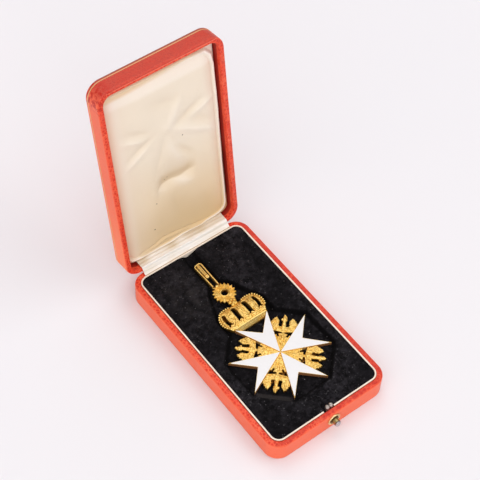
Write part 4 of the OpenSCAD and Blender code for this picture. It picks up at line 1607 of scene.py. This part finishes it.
# Bright patches of the tent: name, direction to it, width in degrees, strength, colour
PATCHES = [
    ("left_patch", (-0.75, -0.62, 0.50), 90, 1.68, (1, 0.99, 0.985)),
    ("right_patch", (0.80, -0.60, 0.95), 50, 0.68, (1, 0.985, 0.98)),
    ("top_patch", (0.25, 0.55, 1.0), 40, 0.55, (1, 0.99, 1)),
]
TENT_LOW = 0.25
TENT_HIGH = 0.69
TENT_COLOUR = (0.99, 0.98, 1.0, 1)


def add_tent():
    """A pale tent of light that grows stronger with height"""
    world = bpy.data.worlds.new("world")
    world.use_nodes = True
    bpy.context.scene.world = world
    nodes, links = world.node_tree.nodes, world.node_tree.links
    background = nodes["Background"]
    background.inputs["Color"].default_value = TENT_COLOUR
    direction = nodes.new("ShaderNodeTexCoord")
    parts = nodes.new("ShaderNodeSeparateXYZ")
    height = nodes.new("ShaderNodeMapRange")
    height.inputs["To Min"].default_value = TENT_LOW
    height.inputs["To Max"].default_value = TENT_HIGH
    links.new(direction.outputs["Generated"], parts.inputs[0])
    links.new(parts.outputs["Z"], height.inputs["Value"])
    links.new(height.outputs["Result"], background.inputs["Strength"])


def set_colours():
    """Colours as they are, without a film look"""
    view = bpy.context.scene.view_settings
    view.view_transform = "Standard"
    view.look = "None"
    view.exposure = 0
    view.gamma = 1


# Assembly


def carry(obj, body, slot, *nodes):
    """The piece rides on a body and stands for nodes, which it hides. slot is not used"""
    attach(obj, body)
    if nodes:
        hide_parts(*nodes)
    return obj


def dress(node, material):
    """A better material on a node whose shape is right"""
    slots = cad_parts[node].data.materials
    slots.clear()
    slots.append(material)


def build_badge():
    """The cross, its eagles, crown, disc and loop"""
    carry(gold_arms(), "case", "gold", "cross_frame")
    for k, turn in enumerate((45, 135, 225, 315)):
        carry(eagle(f"eagle_{k + 1}", turn, k % 2 == 1), "case", "gold", "cross_frame")
    carry(centre_boss(), "case", "gold", "cross_frame")
    for node, turn in (("enamel_up", 0), ("enamel_left", 90), ("enamel_down", 180), ("enamel_right", 270)):
        carry(enamel_arm(node.replace("enamel", "glaze"), turn), "case", "white_enamel", node)
    for piece in (crown_body(), crown_edge_pearls(), crown_band(), crown_neck()):
        carry(piece, "case", "gold", "crown")
    for piece in (rayed_disc(), disc_eyelet()):
        carry(piece, "case", "gold", "rayed_disc")
    carry(ribbon_loop(), "case", "gold", "ribbon_loop")
    carry(loop_tongue(), "case", "gold", "loop_tongue")


def build_case():
    """Soft pieces, the latch and the lid's line, and materials for the nodes whose shape is right"""
    velvet = carry(velvet_pad(), "case", "black_velvet", "velvet_pad")
    lining = carry(lid_lining(), "lid", "cream_satin", "lid_lining")
    strip, flat = hinge_strip()
    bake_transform(strip)
    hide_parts("hinge_strip")
    carry(catch_lugs(), "case", "steel", "catch")
    carry(gold_line(), "lid", "red_leather")
    dress("tray", TRAY_LEATHER)
    dress("lid", LID_LEATHER)
    dress("hinge_roll", TRAY_LEATHER)
    dress("tray_lip", CARD)
    dress("push_button", BUTTON)
    dress("escutcheon", BRASS)


add_camera()
add_floor()
add_tent()
for patch in PATCHES:
    add_soft_sun(*patch)
set_colours()
build_badge()
build_case()
